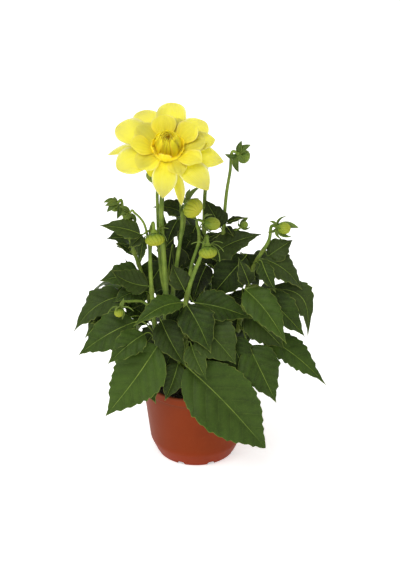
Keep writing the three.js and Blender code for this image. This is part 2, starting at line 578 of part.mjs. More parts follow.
// A bud's head is a flattened globe with shallow ribs, one for each of its closed florets.
function budHead(bud, branch) {
  const rings = BUD_RINGS;
  const sectors = BUD_SECTORS;
  const facing = vector(bud.facing).normalize();
  const side = new THREE.Vector3(0, 0, 1).cross(facing).normalize();
  const up = facing.clone().cross(side);
  const seat = branch.curve.getPointAt(1).addScaledVector(facing, 0.12 * bud.radius + CLEARANCE);
  const centre = seat.clone().addScaledVector(facing, bud.depth);
  const points = [seat];
  for (let ring = 1; ring < rings; ring += 1) {
    const polar = (Math.PI * ring) / rings;
    for (let sector = 0; sector < sectors; sector += 1) {
      const angle = (2 * Math.PI * sector) / sectors;
      const rib = 1 + BUD_RIB * (sector % 2);
      const radius = bud.radius * Math.sin(polar) * rib;
      points.push(centre.clone()
        .addScaledVector(facing, -bud.depth * Math.cos(polar))
        .addScaledVector(side, radius * Math.cos(angle))
        .addScaledVector(up, radius * Math.sin(angle)));
    }
  }
  const crown = points.push(centre.clone().addScaledVector(facing, 0.92 * bud.depth)) - 1;
  const triangles = [];
  for (let sector = 0; sector < sectors; sector += 1) {
    const next = (sector + 1) % sectors;
    triangles.push([0, 1 + next, 1 + sector]);
    for (let ring = 0; ring < rings - 2; ring += 1) {
      const a = 1 + ring * sectors + sector;
      const b = 1 + ring * sectors + next;
      triangles.push([a, b, b + sectors], [a, b + sectors, a + sectors]);
    }
    const last = 1 + (rings - 2) * sectors;
    triangles.push([last + sector, last + next, crown]);
  }
  return meshFromSolid(bud.name, solid(points, triangles), 'bud');
}

// The bloom's own frame: its axis, and two ways across its face.
const axis = vector(BLOOM_AXIS).normalize();
const faceRight = new THREE.Vector3(1, 0, 0).addScaledVector(axis, -axis.x).normalize();
const faceUp = axis.clone().cross(faceRight);
const bloomCentre = vector(BLOOM_CENTRE);

// A petal starts at a radius, climbs at one angle and ends at another, its section cupped.
function petalBlade({ turn, start, height, length, width, rise, close, cup, steps }) {
  const lanes = PETAL_LANES;
  const angle = THREE.MathUtils.degToRad(turn);
  const out = faceRight.clone().multiplyScalar(Math.cos(angle)).addScaledVector(faceUp, Math.sin(angle));
  const across = axis.clone().cross(out);
  const from = THREE.MathUtils.degToRad(rise);
  const bend = THREE.MathUtils.degToRad(close - rise);
  const points = [];
  for (let step = 0; step <= steps; step += 1) {
    for (let lane = 0; lane <= lanes; lane += 1) {
      const edge = (2 * lane) / lanes - 1;
      const share = (step / steps) * (1 - 0.16 * edge * edge * (step / steps) ** 3);
      const slope = from + bend * share;
      const radial = start + (length * (Math.sin(slope) - Math.sin(from))) / bend;
      const climb = height + (length * (Math.cos(from) - Math.cos(slope))) / bend;
      const fill = 0.2 + 0.8 * Math.sin((Math.PI / 2) * Math.min(1, share / 0.62)) ** 1.3;
      const narrow = share > 0.66 ? 1 - (1 - PETAL_TIP) * ((share - 0.66) / 0.34) ** 2 : 1;
      const half = 0.5 * width * fill * narrow;
      const lift = cup * half * edge * edge;
      points.push(bloomCentre.clone()
        .addScaledVector(out, radial - lift * Math.sin(slope))
        .addScaledVector(axis, climb + lift * Math.cos(slope))
        .addScaledVector(across, half * edge));
    }
  }
  const triangles = [];
  for (let step = 0; step < steps; step += 1) {
    for (let lane = 0; lane < lanes; lane += 1) {
      const a = step * (lanes + 1) + lane;
      const b = a + lanes + 1;
      triangles.push([a, b, b + 1], [a, b + 1, a + 1]);
    }
  }
  return thicken(points, triangles, () => PETAL_THICKNESS);
}

// A round piece along the bloom's axis, from one height to another.
function axialCone(low, high, radii, sides) {
  const line = new THREE.LineCurve3(
    bloomCentre.clone().addScaledVector(axis, low),
    bloomCentre.clone().addScaledVector(axis, high),
  );
  return stalk(line, radii, sides);
}

function bloom() {
  const outer = OUTER_PETALS.map(([turn, length, width, rise, close, cup]) => petalBlade({
    ...OUTER_ROW, turn, length: length - OUTER_ROW.start, width, rise, close, cup,
  }));
  const inner = INNER_PETALS.map(([turn, length, width, rise, close, cup]) => petalBlade({
    ...INNER_ROW, turn, length: length - INNER_ROW.start, width, rise, close, cup,
  }));
  const { count, ...petal } = HEART_PETALS;
  const heart = Array.from({ length: count }, (_, index) => petalBlade({
    ...petal, turn: (360 * index) / count + 12,
  }));
  const { low, high, radius, sides } = BLOOM_DISC;
  const disc = axialCone(low, high, [radius, radius], sides);
  return meshFromSolid('bloom', join([disc, ...outer, ...inner, ...heart]), 'petal');
}

// A point of the dome: turn about the axis, angle down from its top, and reach from its middle.
function domePoint(turn, polar, reach) {
  const around = THREE.MathUtils.degToRad(turn);
  const down = THREE.MathUtils.degToRad(polar);
  const radial = DOME.radius * reach * Math.sin(down);
  return bloomCentre.clone()
    .addScaledVector(faceRight, radial * Math.cos(around))
    .addScaledVector(faceUp, radial * Math.sin(around))
    .addScaledVector(axis, DOME.height * reach * Math.cos(down));
}

// A floret hugs the dome from its foot towards the top, crowned along its middle.
function domeFloret({ turn, reach, from, to, spread }) {
  const steps = 3;
  const points = [];
  const triangles = [];
  for (let step = 0; step <= steps; step += 1) {
    const share = step / steps;
    const polar = THREE.MathUtils.lerp(from, to, share);
    const stand = reach * (0.72 + 0.28 * Math.min(1, 3 * share));
    for (const edge of [-1, 0, 1]) {
      const rounded = polar + 7 * edge * edge * share ** 3;
      points.push(domePoint(turn + spread * edge, rounded, stand - 0.06 * edge * edge));
    }
    if (step > 0) {
      for (const lane of [0, 1]) {
        const a = 3 * step - 3 + lane;
        triangles.push([a, a + 1, a + 4], [a, a + 4, a + 3]);
      }
    }
  }
  return thicken(points, triangles, () => PETAL_THICKNESS);
}

// The core that the florets stand on.
function domeCore() {
  const sectors = 10;
  const polars = [90, 62, 34];
  const foot = bloomCentre.clone().addScaledVector(axis, DOME.foot);
  const points = polars.flatMap((polar) => (
    Array.from({ length: sectors }, (_, sector) => domePoint((360 * sector) / sectors, polar, DOME.core))
  ));
  points.slice(0, sectors).forEach((point) => point.addScaledVector(axis, DOME.foot));
  points.push(foot, domePoint(0, 0, 0.62));
  const [pole, crown] = [points.length - 2, points.length - 1];
  const triangles = [];
  for (let sector = 0; sector < sectors; sector += 1) {
    const next = (sector + 1) % sectors;
    const last = (polars.length - 1) * sectors;
    triangles.push([pole, next, sector], [last + sector, last + next, crown]);
    for (let ring = 0; ring < last; ring += sectors) {
      triangles.push([ring + sector, ring + next, ring + sectors + next]);
      triangles.push([ring + sector, ring + sectors + next, ring + sectors + sector]);
    }
  }
  return solid(points, triangles);
}

function bloomHeart() {
  const florets = DOME_FLORETS.flatMap(({ count, fill, ...floret }) => (
    Array.from({ length: count }, (_, index) => domeFloret({
      ...floret, turn: (360 * index) / count, spread: (fill * 180) / count,
    }))
  ));
  return meshFromSolid('bloom_centre', join([domeCore(), ...florets]), 'centre');
}

// The pot's wall leans outwards from its shoulder to its rim.
function wallAt(height) {
  const lean = POT_RIM_RADIUS - POT_COLLAR_STEP - POT_SHOULDER_RADIUS;
  const slope = lean / (POT_HEIGHT - POT_SHOULDER_HEIGHT);
  return POT_SHOULDER_RADIUS + slope * (height - POT_SHOULDER_HEIGHT);
}

function pot() {
  const collarFoot = POT_HEIGHT - POT_COLLAR_HEIGHT;
  const profile = [
    [0, 0], [POT_FOOT_RADIUS - 1, 0], [POT_FOOT_RADIUS, 1], [POT_SHOULDER_RADIUS, POT_SHOULDER_HEIGHT],
    [wallAt(collarFoot), collarFoot], [wallAt(collarFoot) + POT_COLLAR_STEP, collarFoot + 0.6],
    [POT_RIM_RADIUS, POT_HEIGHT - 1], [POT_RIM_RADIUS - 0.8, POT_HEIGHT],
    [POT_RIM_RADIUS - POT_COLLAR_STEP - POT_WALL, POT_HEIGHT],
    [POT_SHOULDER_RADIUS - POT_WALL, POT_SHOULDER_HEIGHT],
    [POT_FOOT_RADIUS - 1.2, POT_FLOOR], [0, POT_FLOOR],
  ].map(([radius, height]) => new THREE.Vector2(radius, height));
  let body = solidFromGeometry(new THREE.LatheGeometry(profile, POT_SEGMENTS).rotateX(Math.PI / 2));
  for (let index = 0; index < DRAIN_SLOTS; index += 1) {
    const slot = new THREE.BoxGeometry(14, DRAIN_SLOT_WIDTH, 2 * DRAIN_SLOT_HEIGHT)
      .translate(POT_FOOT_RADIUS - 1, 0, 0)
      .rotateZ((2 * Math.PI * (index + 0.5)) / DRAIN_SLOTS);
    body = body.subtract(solidFromGeometry(slot));
  }
  return meshFromSolid('pot', body, 'pot');
}

function soil() {
  const gap = POT_WALL + 2 * CLEARANCE;
  const profile = [
    [0, POT_FLOOR + CLEARANCE], [POT_FOOT_RADIUS - 2, POT_FLOOR + CLEARANCE],
    [POT_SHOULDER_RADIUS - gap, POT_SHOULDER_HEIGHT], [wallAt(SOIL_TOP) - gap, SOIL_TOP],
    [0.7 * POT_RIM_RADIUS, SOIL_TOP + 0.6 * SOIL_MOUND], [0, SOIL_TOP + SOIL_MOUND],
  ].map(([radius, height]) => new THREE.Vector2(radius, height));
  let body = solidFromGeometry(new THREE.LatheGeometry(profile, POT_SEGMENTS).rotateX(Math.PI / 2));
  for (const { branches } of STEMS) {
    const [x, y] = branches[0].route[0];
    const radius = branches[0].radii[0] + STEM_HOLE_GAP;
    const depth = SOIL_TOP + 2 * SOIL_MOUND - STEM_FOOT + CLEARANCE;
    const hole = new THREE.CylinderGeometry(radius, radius, depth, 6)
      .rotateX(Math.PI / 2)
      .translate(x, y, STEM_FOOT - CLEARANCE + depth / 2);
    body = body.subtract(solidFromGeometry(hole));
  }
  return meshFromSolid('soil', body, 'soil');
}

// A leafy stem: its branches, its leaves on their stalks, and the seats and bracts of its buds.
function leafyStem({ name, branches, leaves, buds }) {
  const grown = branches.map(({ route, radii }, index) => {
    const bud = buds.find(({ on }) => on === index);
    const full = bud ? budRoute(route, bud) : route;
    return { curve: routeCurve(full), radii, shares: ringShares(full) };
  });
  const parts = grown.map(({ curve, radii, shares }) => stalk(curve, radii, STEM_SIDES, shares));
  for (const place of leaves) {
    parts.push(leaf(place, grown[place.on ?? 0]));
  }
  for (const bud of buds) {
    parts.push(...budSolids(bud, grown[bud.on]));
  }
  if (name === 'bloom_stem') {
    parts.push(calyx());
  }
  const heads = buds.map((bud) => budHead(bud, grown[bud.on]));
  return [meshFromSolid(name, join(parts), 'green'), ...heads];
}

// The green cup under the bloom, where its stem widens.
function calyx() {
  return axialCone(CALYX.foot, BLOOM_DISC.low - CLEARANCE, CALYX.radii, CALYX.sides);
}

const dahlia = new THREE.Group();
dahlia.name = 'potted_dahlia';
dahlia.add(pot(), soil());
for (const stem of STEMS) {
  dahlia.add(...leafyStem(stem));
}
dahlia.add(bloom(), bloomHeart());

export default dahlia;
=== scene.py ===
"""Potted dahlia, dressed for the camera.

The tables give places in millimetres, with +Z up and the plant's front towards -Y. Every mesh is
in metres, with its object at the origin. Shapes are grids of points worked out with numpy: a
profile is carried along a line, closed at both ends, and each function says its formula in words.

Points carry named values for the finishes: along and over are places along and across a part,
half is half a blade's width, vein counts its side veins, under marks its underside, tint varies
its colour and on leaves also paints shade on those inside the plant, grey is a painted sheen that
greys some leaves, rib, outer and ripe belong to the buds, and pit is the bloom's brown middle.
"""
from __future__ import annotations

import sys
import logging
import math
from dataclasses import dataclass
from enum import Enum, IntEnum
from typing import Sequence, Union

import bpy
import numpy as np
from mathutils import Matrix


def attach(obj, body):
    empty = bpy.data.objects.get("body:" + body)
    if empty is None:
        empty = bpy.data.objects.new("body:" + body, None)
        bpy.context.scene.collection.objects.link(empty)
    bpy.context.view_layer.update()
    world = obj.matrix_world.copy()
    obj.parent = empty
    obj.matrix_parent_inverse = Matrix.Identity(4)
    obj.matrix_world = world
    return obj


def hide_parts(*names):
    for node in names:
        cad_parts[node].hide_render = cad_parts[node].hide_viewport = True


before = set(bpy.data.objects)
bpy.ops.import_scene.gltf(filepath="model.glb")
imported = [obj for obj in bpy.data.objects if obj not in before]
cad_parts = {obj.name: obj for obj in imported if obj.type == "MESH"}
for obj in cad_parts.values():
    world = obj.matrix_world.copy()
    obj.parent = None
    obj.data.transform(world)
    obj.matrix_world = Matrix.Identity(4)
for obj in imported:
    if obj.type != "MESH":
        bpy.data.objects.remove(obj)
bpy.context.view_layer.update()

LOG = logging.getLogger("dahlia")
MM = 0.001
BODY = "root"
UP = np.array((0.0, 0.0, 1.0))
TO_VIEWER = np.array((0.0, -1.2, 0.5))
WHITE = (1.0, 1.0, 1.0, 1.0)

Array = np.ndarray
Chance = np.random.Generator
Thing = bpy.types.Object
Material = bpy.types.Material
Socket = bpy.types.NodeSocket
Triple = tuple[float, float, float]
Rgb = tuple[int, int, int]
Stops = Sequence[tuple[float, Rgb]]
Amount = Union[float, Array]
Number = Union[float, "Value"]
Paint = Union[Rgb, Socket]


class Slot(Enum):
    """The record's material slots."""

    POT = "pot"
    SOIL = "soil"
    PLANT = "plant"
    BUD = "bud"
    PETAL = "petal"
    CENTRE = "bloom_centre"


# The plant's places

@dataclass(frozen=True)
class Branch:
    """A line of points that a stem grows through, and its radius at the foot and at the end."""

    route: tuple[Triple, ...]
    radii: tuple[float, float]


@dataclass(frozen=True)
class Leaf:
    """A leaf whose stalk leaves a branch at a share of the branch's length, and whose blade runs
    from base to tip.

    Arch is how high it bends as a share of its length, face is the way its upper side looks, and
    on is the number of its branch. A larger belly moves its widest place towards the tip, a
    smaller full makes its sides rounder, and sway bends it sideways.
    """

    at: float
    base: Triple
    tip: Triple
    width: float
    arch: float
    face: Triple
    on: int = 0
    belly: float = 0.68
    full: float = 1.0
    sway: float = 0.0


@dataclass(frozen=True)
class Bud:
    """A bud on the end of a branch: the branch's number, half its width and half its depth, the
    way it faces, and the places of its bracts' tips from that end.

    Ripe runs from 0 for green to 1 for yellow, broad says how broad and dark its bracts are, and
    turned how far they turn their faces to the plant's front.
    """

    name: str
    on: int
    radius: float
    depth: float
    facing: Triple
    bracts: tuple[Triple, ...]
    ripe: float
    broad: float
    turned: float = 0.0


@dataclass(frozen=True)
class Stem:
    """One leafy stem with its branches, leaves and buds, and the inner leaves that fill the gaps
    among the stems; leaves inside the plant are painted darker as shade.
    """

    name: str
    branches: tuple[Branch, ...]
    leaves: tuple[Leaf, ...]
    buds: tuple[Bud, ...]
    inner: tuple[Leaf, ...] = ()


STEMS = (
    Stem(
        "bloom_stem",
        branches=(
            Branch(((-20, -6, 66), (-20, -6, 96), (-34, -9, 161), (-34, -12, 217), (-38, -15, 302),
                    (-36, -13, 342), (-32, -18, 378)), (3.6, 2.5)),
            Branch(((-34, -11, 205), (-39, -6, 232), (-42, -5, 300), (-42, -3, 338),
                    (-44, -2, 352)), (2.2, 1.7)),
        ),
        leaves=(
            Leaf(0.2, (-39, -32, 185), (-12, -59, 142), 36, 0.12, (-0.1, -0.75, 0.65)),
            Leaf(0.3, (-58, -7, 210), (-93, -21, 203), 30, 0.12, (0, -0.5, 0.8)),
            Leaf(0.42, (-31, 6, 240), (-36, 22, 292), 22, -0.1, (0.1, -0.9, 0.4)),
            Leaf(0.34, (-37, 13, 236), (-60, 22, 192), 38, 0.1, (-0.15, -0.85, 0.45)),
        ),
        inner=(
            Leaf(0.24, (-40, -1, 160), (-69, -12, 126), 28, 0.1, (-0.2, -0.8, 0.5)),
            Leaf(0.26, (-21, -9, 198), (-11, -13, 156), 36, 0.1, (0.1, -0.9, 0.4)),
            Leaf(0.46, (-26, 8, 258), (-23, 7, 226), 34, 0.1, (0, -0.9, 0.4)),
        ),
        buds=(
            Bud("bud_hidden", 1, 7, 5, (-0.6, -0.2, -0.5),
                ((-9, -3, 3), (-6, -6, -7), (2, -9, -5), (4, 6, 5)), ripe=0.2, broad=0.8),
        ),
    ),
    Stem(
        "left_stem",
        branches=(
            Branch(((-34, 10, 66), (-34, 10, 96), (-46, 10, 150), (-63, 6, 231), (-74, 4, 268),
                    (-81, 2, 305), (-87, 0, 315)), (3.2, 1.6)),
        ),
        leaves=(
            Leaf(0.72, (-76, 2, 270), (-99, -8, 276), 24, 0.14, (0, -0.5, 0.85)),
            Leaf(0.66, (-74, 3, 256), (-90, -2, 268), 13, 0.1, (0, -0.6, 0.8)),
            Leaf(0.5, (-64, -2, 226), (-109, -12, 225), 34, 0.14, (0, -0.6, 0.8)),
            Leaf(0.42, (-79, 0, 200), (-139, -20, 165), 44, 0.2, (-0.3, -0.5, 0.8)),
            Leaf(0.3, (-74, -12, 180), (-119, -36, 184), 24, -0.05, (0, -0.7, 0.7)),
            Leaf(0.36, (-70, 30, 190), (-128, 62, 168), 46, 0.2, (-0.3, 0.3, 0.9)),
            Leaf(0.56, (-68, 22, 240), (-92, 62, 236), 32, 0.16, (-0.2, 0.3, 0.9)),
            Leaf(0.41, (-56, 9, 192), (-80, 8, 243), 32, 0.1, (0, -0.9, 0.4)),
            Leaf(0.32, (-53, 2, 168), (-89, 0, 195), 28, 0.1, (-0.1, -0.8, 0.6)),
        ),
        inner=(
            Leaf(0.4, (-61, 9, 212), (-88, 4, 180), 36, 0.1, (-0.1, -0.8, 0.5)),
            Leaf(0.36, (-90, -14, 190), (-126, -30, 162), 30, 0.12, (-0.2, -0.7, 0.6)),
        ),
        buds=(
            Bud("bud_left", 0, 5.2, 4.5, (-0.65, -0.35, -0.65),
                ((-15, -3, 3), (-4, 4, 7), (-11, -11, -5), (0, -12, -13), (6, -4, -14),
                 (-13, -8, 1), (-10, 8, 1)), ripe=0.1, broad=1, turned=1),
        ),
    ),
    Stem(
        "front_stem",
        branches=(
            Branch(((-34, -24, 66), (-34, -24, 96), (-43, -26, 140), (-49, -25, 208),
                    (-51, -16, 262), (-50, -12, 284), (-46, -22, 290)), (3.2, 1.9)),
            Branch(((-51, -15, 266), (-54, -17, 286), (-57, -20, 300), (-62, -20, 308),
                    (-68, -20, 314), (-73, -20, 312)), (1.5, 1.2)),
            Branch(((-49, -25, 196), (-60, -31, 209), (-73, -40, 214), (-84, -48, 210)),
                   (1.6, 1.3)),
        ),
        leaves=(
            Leaf(0.9, (-61, -30, 292), (-105, -36, 305), 24, 0.1, (0.1, -0.65, 0.7)),
            Leaf(0.91, (-59, -24, 288), (-74, -32, 276), 15, 0.1, (0, -0.8, 0.5)),
            Leaf(0.84, (-57, -15, 281), (-62, -20, 250), 12, 0.08, (-0.2, -0.9, 0.2)),
            Leaf(0.62, (-53, -24, 225), (-94, -38, 252), 32, -0.14, (0, -0.6, 0.8)),
            Leaf(0.4, (-68, -38, 187), (-132, -52, 152), 46, 0.12, (-0.2, -0.7, 0.7)),
            Leaf(0.34, (-58, -50, 178), (-98, -72, 152), 32, 0.1, (-0.1, -0.8, 0.6)),
            Leaf(0.3, (-43, -50, 163), (-103, -66, 80), 62, 0.08, (-0.2, -0.9, 0.45)),
            Leaf(0.24, (-57, -52, 131), (-45, -76, 103), 26, 0.1, (-0.2, -0.8, 0.5)),
            Leaf(0.26, (-25, -34, 149), (-41, -40, 113), 24, 0.08, (-0.1, -0.9, 0.4)),
        ),
        buds=(
            Bud("bud_front_left", 0, 10.5, 6.8, (0.1, -0.55, -0.8),
                ((16, 2, 4), (-4, 5, 7), (7, 4, 9), (12, -4, -9)),
                ripe=0.75, broad=0.15, turned=0.15),
            Bud("bud_low_left", 2, 5, 5, (-0.25, -0.6, -0.75),
                ((-14, -4, -5), (15, -2, -3), (2, -3, -13), (-2, 6, -3), (4, 2, 11), (-5, -9, 2)),
                ripe=0.55, broad=0.6),
            Bud("bud_left_inner", 1, 4.4, 4, (-0.6, -0.3, -0.6),
                ((-10, 2, 8), (-9, -4, -2), (-1, -4, -11), (7, -2, -12), (-6, 8, 6),
                 (-5, -10, -3)), ripe=0.1, broad=1, turned=0.8),
        ),
    ),
    Stem(
        "centre_stem",
        branches=(
            Branch(((-4, -20, 66), (-4, -20, 96), (-12, -26, 160), (-11, -28, 207), (-3, -28, 240),
                    (6, -22, 262), (10, -18, 276), (13, -30, 278)), (3.4, 1.9)),
            Branch(((-12, -27, 200), (-8, -21, 228), (-4, -20, 252), (4, -17, 280),
                    (9, -15, 300)), (2.2, 1.6)),
        ),
        leaves=(
            Leaf(0.6, (-10, -36, 207), (17, -68, 163), 42, 0.1, (0.05, -0.8, 0.6)),
            Leaf(0.6, (-15, -34, 209), (-69, -62, 194), 28, 0.16, (-0.1, -0.5, 0.85)),
            Leaf(0.64, (-1, -26, 205), (63, -30, 187), 38, 0.1, (0.1, -0.75, 0.65)),
            Leaf(0.4, (-10, -54, 138), (79, -86, 50), 78, 0.08, (0.08, -0.9, 0.42),
                 belly=0.85, full=0.75),
            Leaf(0.42, (7, -40, 182), (45, -62, 146), 52, 0.1, (0.1, -0.8, 0.6)),
            Leaf(0.32, (-5, -54, 166), (12, -78, 135), 26, 0.1, (0, -0.9, 0.4)),
            Leaf(0.28, (-20, -50, 140), (-35, -66, 101), 28, 0.1, (-0.1, -0.9, 0.4)),
            Leaf(0.62, (-13, -28, 223), (-27, -13, 247), 26, 0.06, (0.1, -0.7, 0.7)),
            Leaf(0.3, (10, -36, 150), (66, -46, 107), 32, 0.08, (0.1, -0.9, 0.45)),
            Leaf(0.75, (8, -14, 276), (30, -16, 287), 11, 0.1, (0, -0.7, 0.7), on=1),
        ),
        inner=(
            Leaf(0.2, (-2, -14, 166), (2, -22, 122), 42, 0.1, (0, -0.9, 0.4)),
        ),
        buds=(
            Bud("bud_front_centre", 0, 9.8, 6.5, (0.05, -0.5, -0.85),
                ((-18, 0, 2), (17, 3, 2), (18, -5, -5), (9, -9, -16), (-2, 6, 6)),
                ripe=0.6, broad=0.2),
            Bud("bud_opening", 1, 7, 9, (0.9, -0.3, -0.1),
                ((9, -3, 10), (12, -8, -8), (4, 9, 6), (-4, -6, -7)), ripe=0.4, broad=0.6),
        ),
    ),
    Stem(
        "middle_stem",
        branches=(
            Branch(((-16, 12, 66), (-16, 12, 96), (-24, 4, 150), (-26, -2, 208), (-21, -7, 248),
                    (-15, -11, 300), (-9, -12, 321)), (3.2, 1.9)),
            Branch(((-18, -9, 270), (-14, -4, 284), (-12, 3, 298)), (1.3, 1.1)),
        ),
        leaves=(
            Leaf(0.95, (-15, 6, 301), (-48, 6, 308), 22, 0.2, (0, -0.6, 0.8), on=1),
            Leaf(0.8, (-20, -2, 297), (-33, -8, 266), 18, 0.08, (-0.2, -0.9, 0.2), on=1),
            Leaf(0.42, (-24, 30, 176), (-26, 84, 160), 46, 0.2, (0, 0.3, 0.95)),
            Leaf(0.56, (-16, 18, 226), (-6, 62, 240), 34, 0.16, (0, 0.1, 1)),
            Leaf(0.24, (-34, 34, 148), (-76, 76, 106), 54, 0.14, (-0.4, 0.5, 0.75)),
            Leaf(0.42, (-28, 28, 183), (-53, 28, 245), 36, 0.08, (0, -0.9, 0.4)),
        ),
        buds=(
            Bud("bud_centre", 0, 11.5, 8.5, (0.55, -0.7, -0.25),
                ((3, 3, 16), (14, 6, 17), (10, -8, -13), (-8, 5, 4), (-6, -6, -9)),
                ripe=0.9, broad=1),
        ),
    ),
    Stem(
        "tall_stem",
        branches=(
            Branch(((14, 14, 66), (14, 14, 96), (22, 16, 160), (30, 15, 260), (34, 13, 320),
                    (38, 11, 350), (47, 8, 371)), (3.2, 1.6)),
            Branch(((30, 15, 262), (38, 15, 273), (46, 12, 278), (51, 10, 282)), (1.3, 1.1)),
        ),
        leaves=(
            Leaf(0.52, (18, 6, 248), (74, 10, 273), 36, 0.12, (-0.1, -0.6, 0.8)),
            Leaf(0.64, (28, 14, 280), (10, 20, 312), 30, 0.08, (-0.2, -0.85, 0.4)),
            Leaf(0.7, (35, 11, 286), (57, 7, 295), 9, 0.12, (0, -0.5, 0.85)),
            Leaf(0.69, (34, 10, 283), (42, 4, 273), 9, 0.1, (0.2, -0.7, 0.5)),
            Leaf(0.44, (36, 36, 214), (58, 88, 206), 46, 0.2, (0.2, 0.4, 0.9)),
            Leaf(0.24, (34, 36, 146), (74, 80, 104), 54, 0.16, (0.4, 0.5, 0.75)),
            Leaf(0.48, (12, 6, 236), (-3, -22, 204), 26, 0.14, (-0.1, -0.9, 0.4)),
            Leaf(0.5, (56, 4, 248), (15, -3, 198), 42, 0.08, (0, -0.9, 0.4)),
            Leaf(0.44, (27, 42, 193), (66, 44, 222), 34, 0.1, (0, -0.85, 0.5)),
        ),
        inner=(
            Leaf(0.46, (8, 18, 264), (28, 16, 230), 36, 0.1, (0, -0.9, 0.4)),
        ),
        buds=(
            Bud("bud_tall", 0, 7.5, 6.5, (0.75, 0.3, -0.5),
                ((-15, -3, 1), (3, -1, 16), (13, -3, 12), (0, -4, -20), (7, -8, -8)),
                ripe=0.15, broad=1, turned=1),
            Bud("bud_small", 1, 4, 4.5, (0.6, -0.3, 0.6),
                ((8, 0, 11), (10, -3, 1), (-3, -2, 9), (5, 5, 4)), ripe=0.1, broad=0.8),
        ),
    ),
    Stem(
        "back_stem",
        branches=(
            Branch(((0, 30, 66), (0, 30, 96), (5, 30, 160), (9, 27, 240), (10, 25, 311),
                    (12, 20, 350), (5, 23, 366)), (3.2, 1.9)),
        ),
        leaves=(
            Leaf(0.66, (16, 35, 266), (38, 66, 262), 28, 0.18, (0.1, 0.3, 0.9)),
            Leaf(0.66, (-4, 35, 268), (-32, 62, 272), 28, 0.18, (0, 0.3, 0.9)),
            Leaf(0.34, (14, 46, 176), (34, 112, 150), 52, 0.2, (0.1, 0.4, 0.9)),
            Leaf(0.16, (2, 48, 128), (4, 100, 78), 58, 0.14, (0, 0.8, 0.6)),
            Leaf(0.4, (-6, 44, 196), (-48, 94, 186), 46, 0.18, (-0.1, 0.3, 0.9)),
            Leaf(0.58, (4, 26, 246), (-20, 30, 267), 28, 0.1, (0, -0.9, 0.4)),
            Leaf(0.5, (14, 34, 222), (44, 40, 252), 32, 0.1, (0, -0.9, 0.4)),
            Leaf(0.31, (9, 42, 173), (-16, 42, 220), 32, 0.1, (0, -0.9, 0.4)),
        ),
        inner=(
            Leaf(0.52, (1, 28, 262), (6, 25, 220), 28, 0.1, (0, -0.9, 0.4)),
            Leaf(0.6, (0, 32, 274), (-14, 28, 238), 34, 0.1, (0, -0.9, 0.4)),
        ),
        buds=(
            Bud("bud_back", 0, 8.5, 7, (-0.3, 0.6, -0.5),
                ((-12, 2, 8), (12, 3, 8), (0, -6, 13), (9, 8, -8), (-8, 9, -9)),
                ripe=0.2, broad=0.9, turned=0.9),
        ),
    ),
    Stem(
        "right_stem",
        branches=(
            Branch(((30, -6, 66), (30, -6, 96), (46, -4, 150), (60, -1, 217), (67, -2, 242),
                    (82, -4, 273), (91, -5, 289)), (3.4, 1.8)),
            Branch(((60, -1, 214), (68, -3, 214), (76, -6, 212)), (1.9, 1.6)),
        ),
        leaves=(
            Leaf(0.84, (82, -2, 252), (109, 6, 268), 28, 0.08, (0.1, -0.85, 0.5)),
            Leaf(0.78, (76, -4, 249), (120, -12, 214), 36, 0.14, (0.3, -0.6, 0.75)),
            Leaf(0.76, (74, -17, 251), (89, -36, 223), 19, 0.12, (0.1, -0.9, 0.4)),
            Leaf(0.95, (80, -6, 212), (127, -30, 163), 34, 0.12, (0.2, -0.85, 0.5),
                 on=1, sway=-0.32),
            Leaf(0.95, (77, -14, 208), (123, -36, 167), 40, 0.14, (0.3, -0.75, 0.6), on=1),
            Leaf(0.5, (56, -26, 221), (101, -64, 173), 38, 0.12, (0.1, -0.85, 0.5), on=1),
            Leaf(0.52, (58, -14, 186), (101, -30, 147), 40, 0.12, (0.1, -0.85, 0.5)),
            Leaf(0.42, (60, -40, 157), (91, -66, 98), 49, 0.08, (0.25, -0.9, 0.4)),
            Leaf(0.4, (75, -20, 160), (149, -36, 104), 38, 0.1, (0.3, -0.6, 0.75)),
            Leaf(0.46, (74, 24, 184), (132, 52, 160), 44, 0.2, (0.3, 0.3, 0.9)),
            Leaf(0.62, (70, 18, 226), (98, 48, 232), 32, 0.16, (0.2, 0.2, 0.95)),
            Leaf(0.62, (60, -17, 224), (47, -20, 259), 20, 0.1, (-0.1, -0.9, 0.4)),
            Leaf(0.74, (69, -10, 248), (87, -16, 231), 20, 0.12, (0.2, -0.8, 0.5)),
            Leaf(0.5, (64, 14, 186), (35, 16, 194), 24, 0.1, (0, -0.8, 0.6)),
        ),
        inner=(
            Leaf(0.36, (54, 6, 182), (60, 2, 136), 46, 0.1, (0.1, -0.9, 0.4)),
            Leaf(0.5, (54, 12, 246), (72, 8, 208), 34, 0.1, (0.1, -0.9, 0.4)),
            Leaf(0.24, (38, -38, 166), (60, -54, 126), 38, 0.1, (0.1, -0.9, 0.4)),
        ),
        buds=(
            Bud("bud_right", 0, 6.5, 7.5, (0.8, -0.5, 0.05),
                ((9, 1, 13), (22, -6, 1), (15, -9, -6), (-9, 3, 6), (2, 6, -6), (-11, -3, -5),
                 (5, -8, -12)), ripe=0.5, broad=0.8),
        ),
    ),
)


@dataclass(frozen=True)
class Petal:
    """A petal: its turn about the bloom's axis and its angles at root and tip, in degrees, how far
    it reaches from the axis and how wide it is, its cup, and its point, from 0 for a round end to
    1 for a sharp one.
    """

    turn: float
    length: float
    width: float
    rise: float
    close: float
    cup: float
    point: float = 0.5


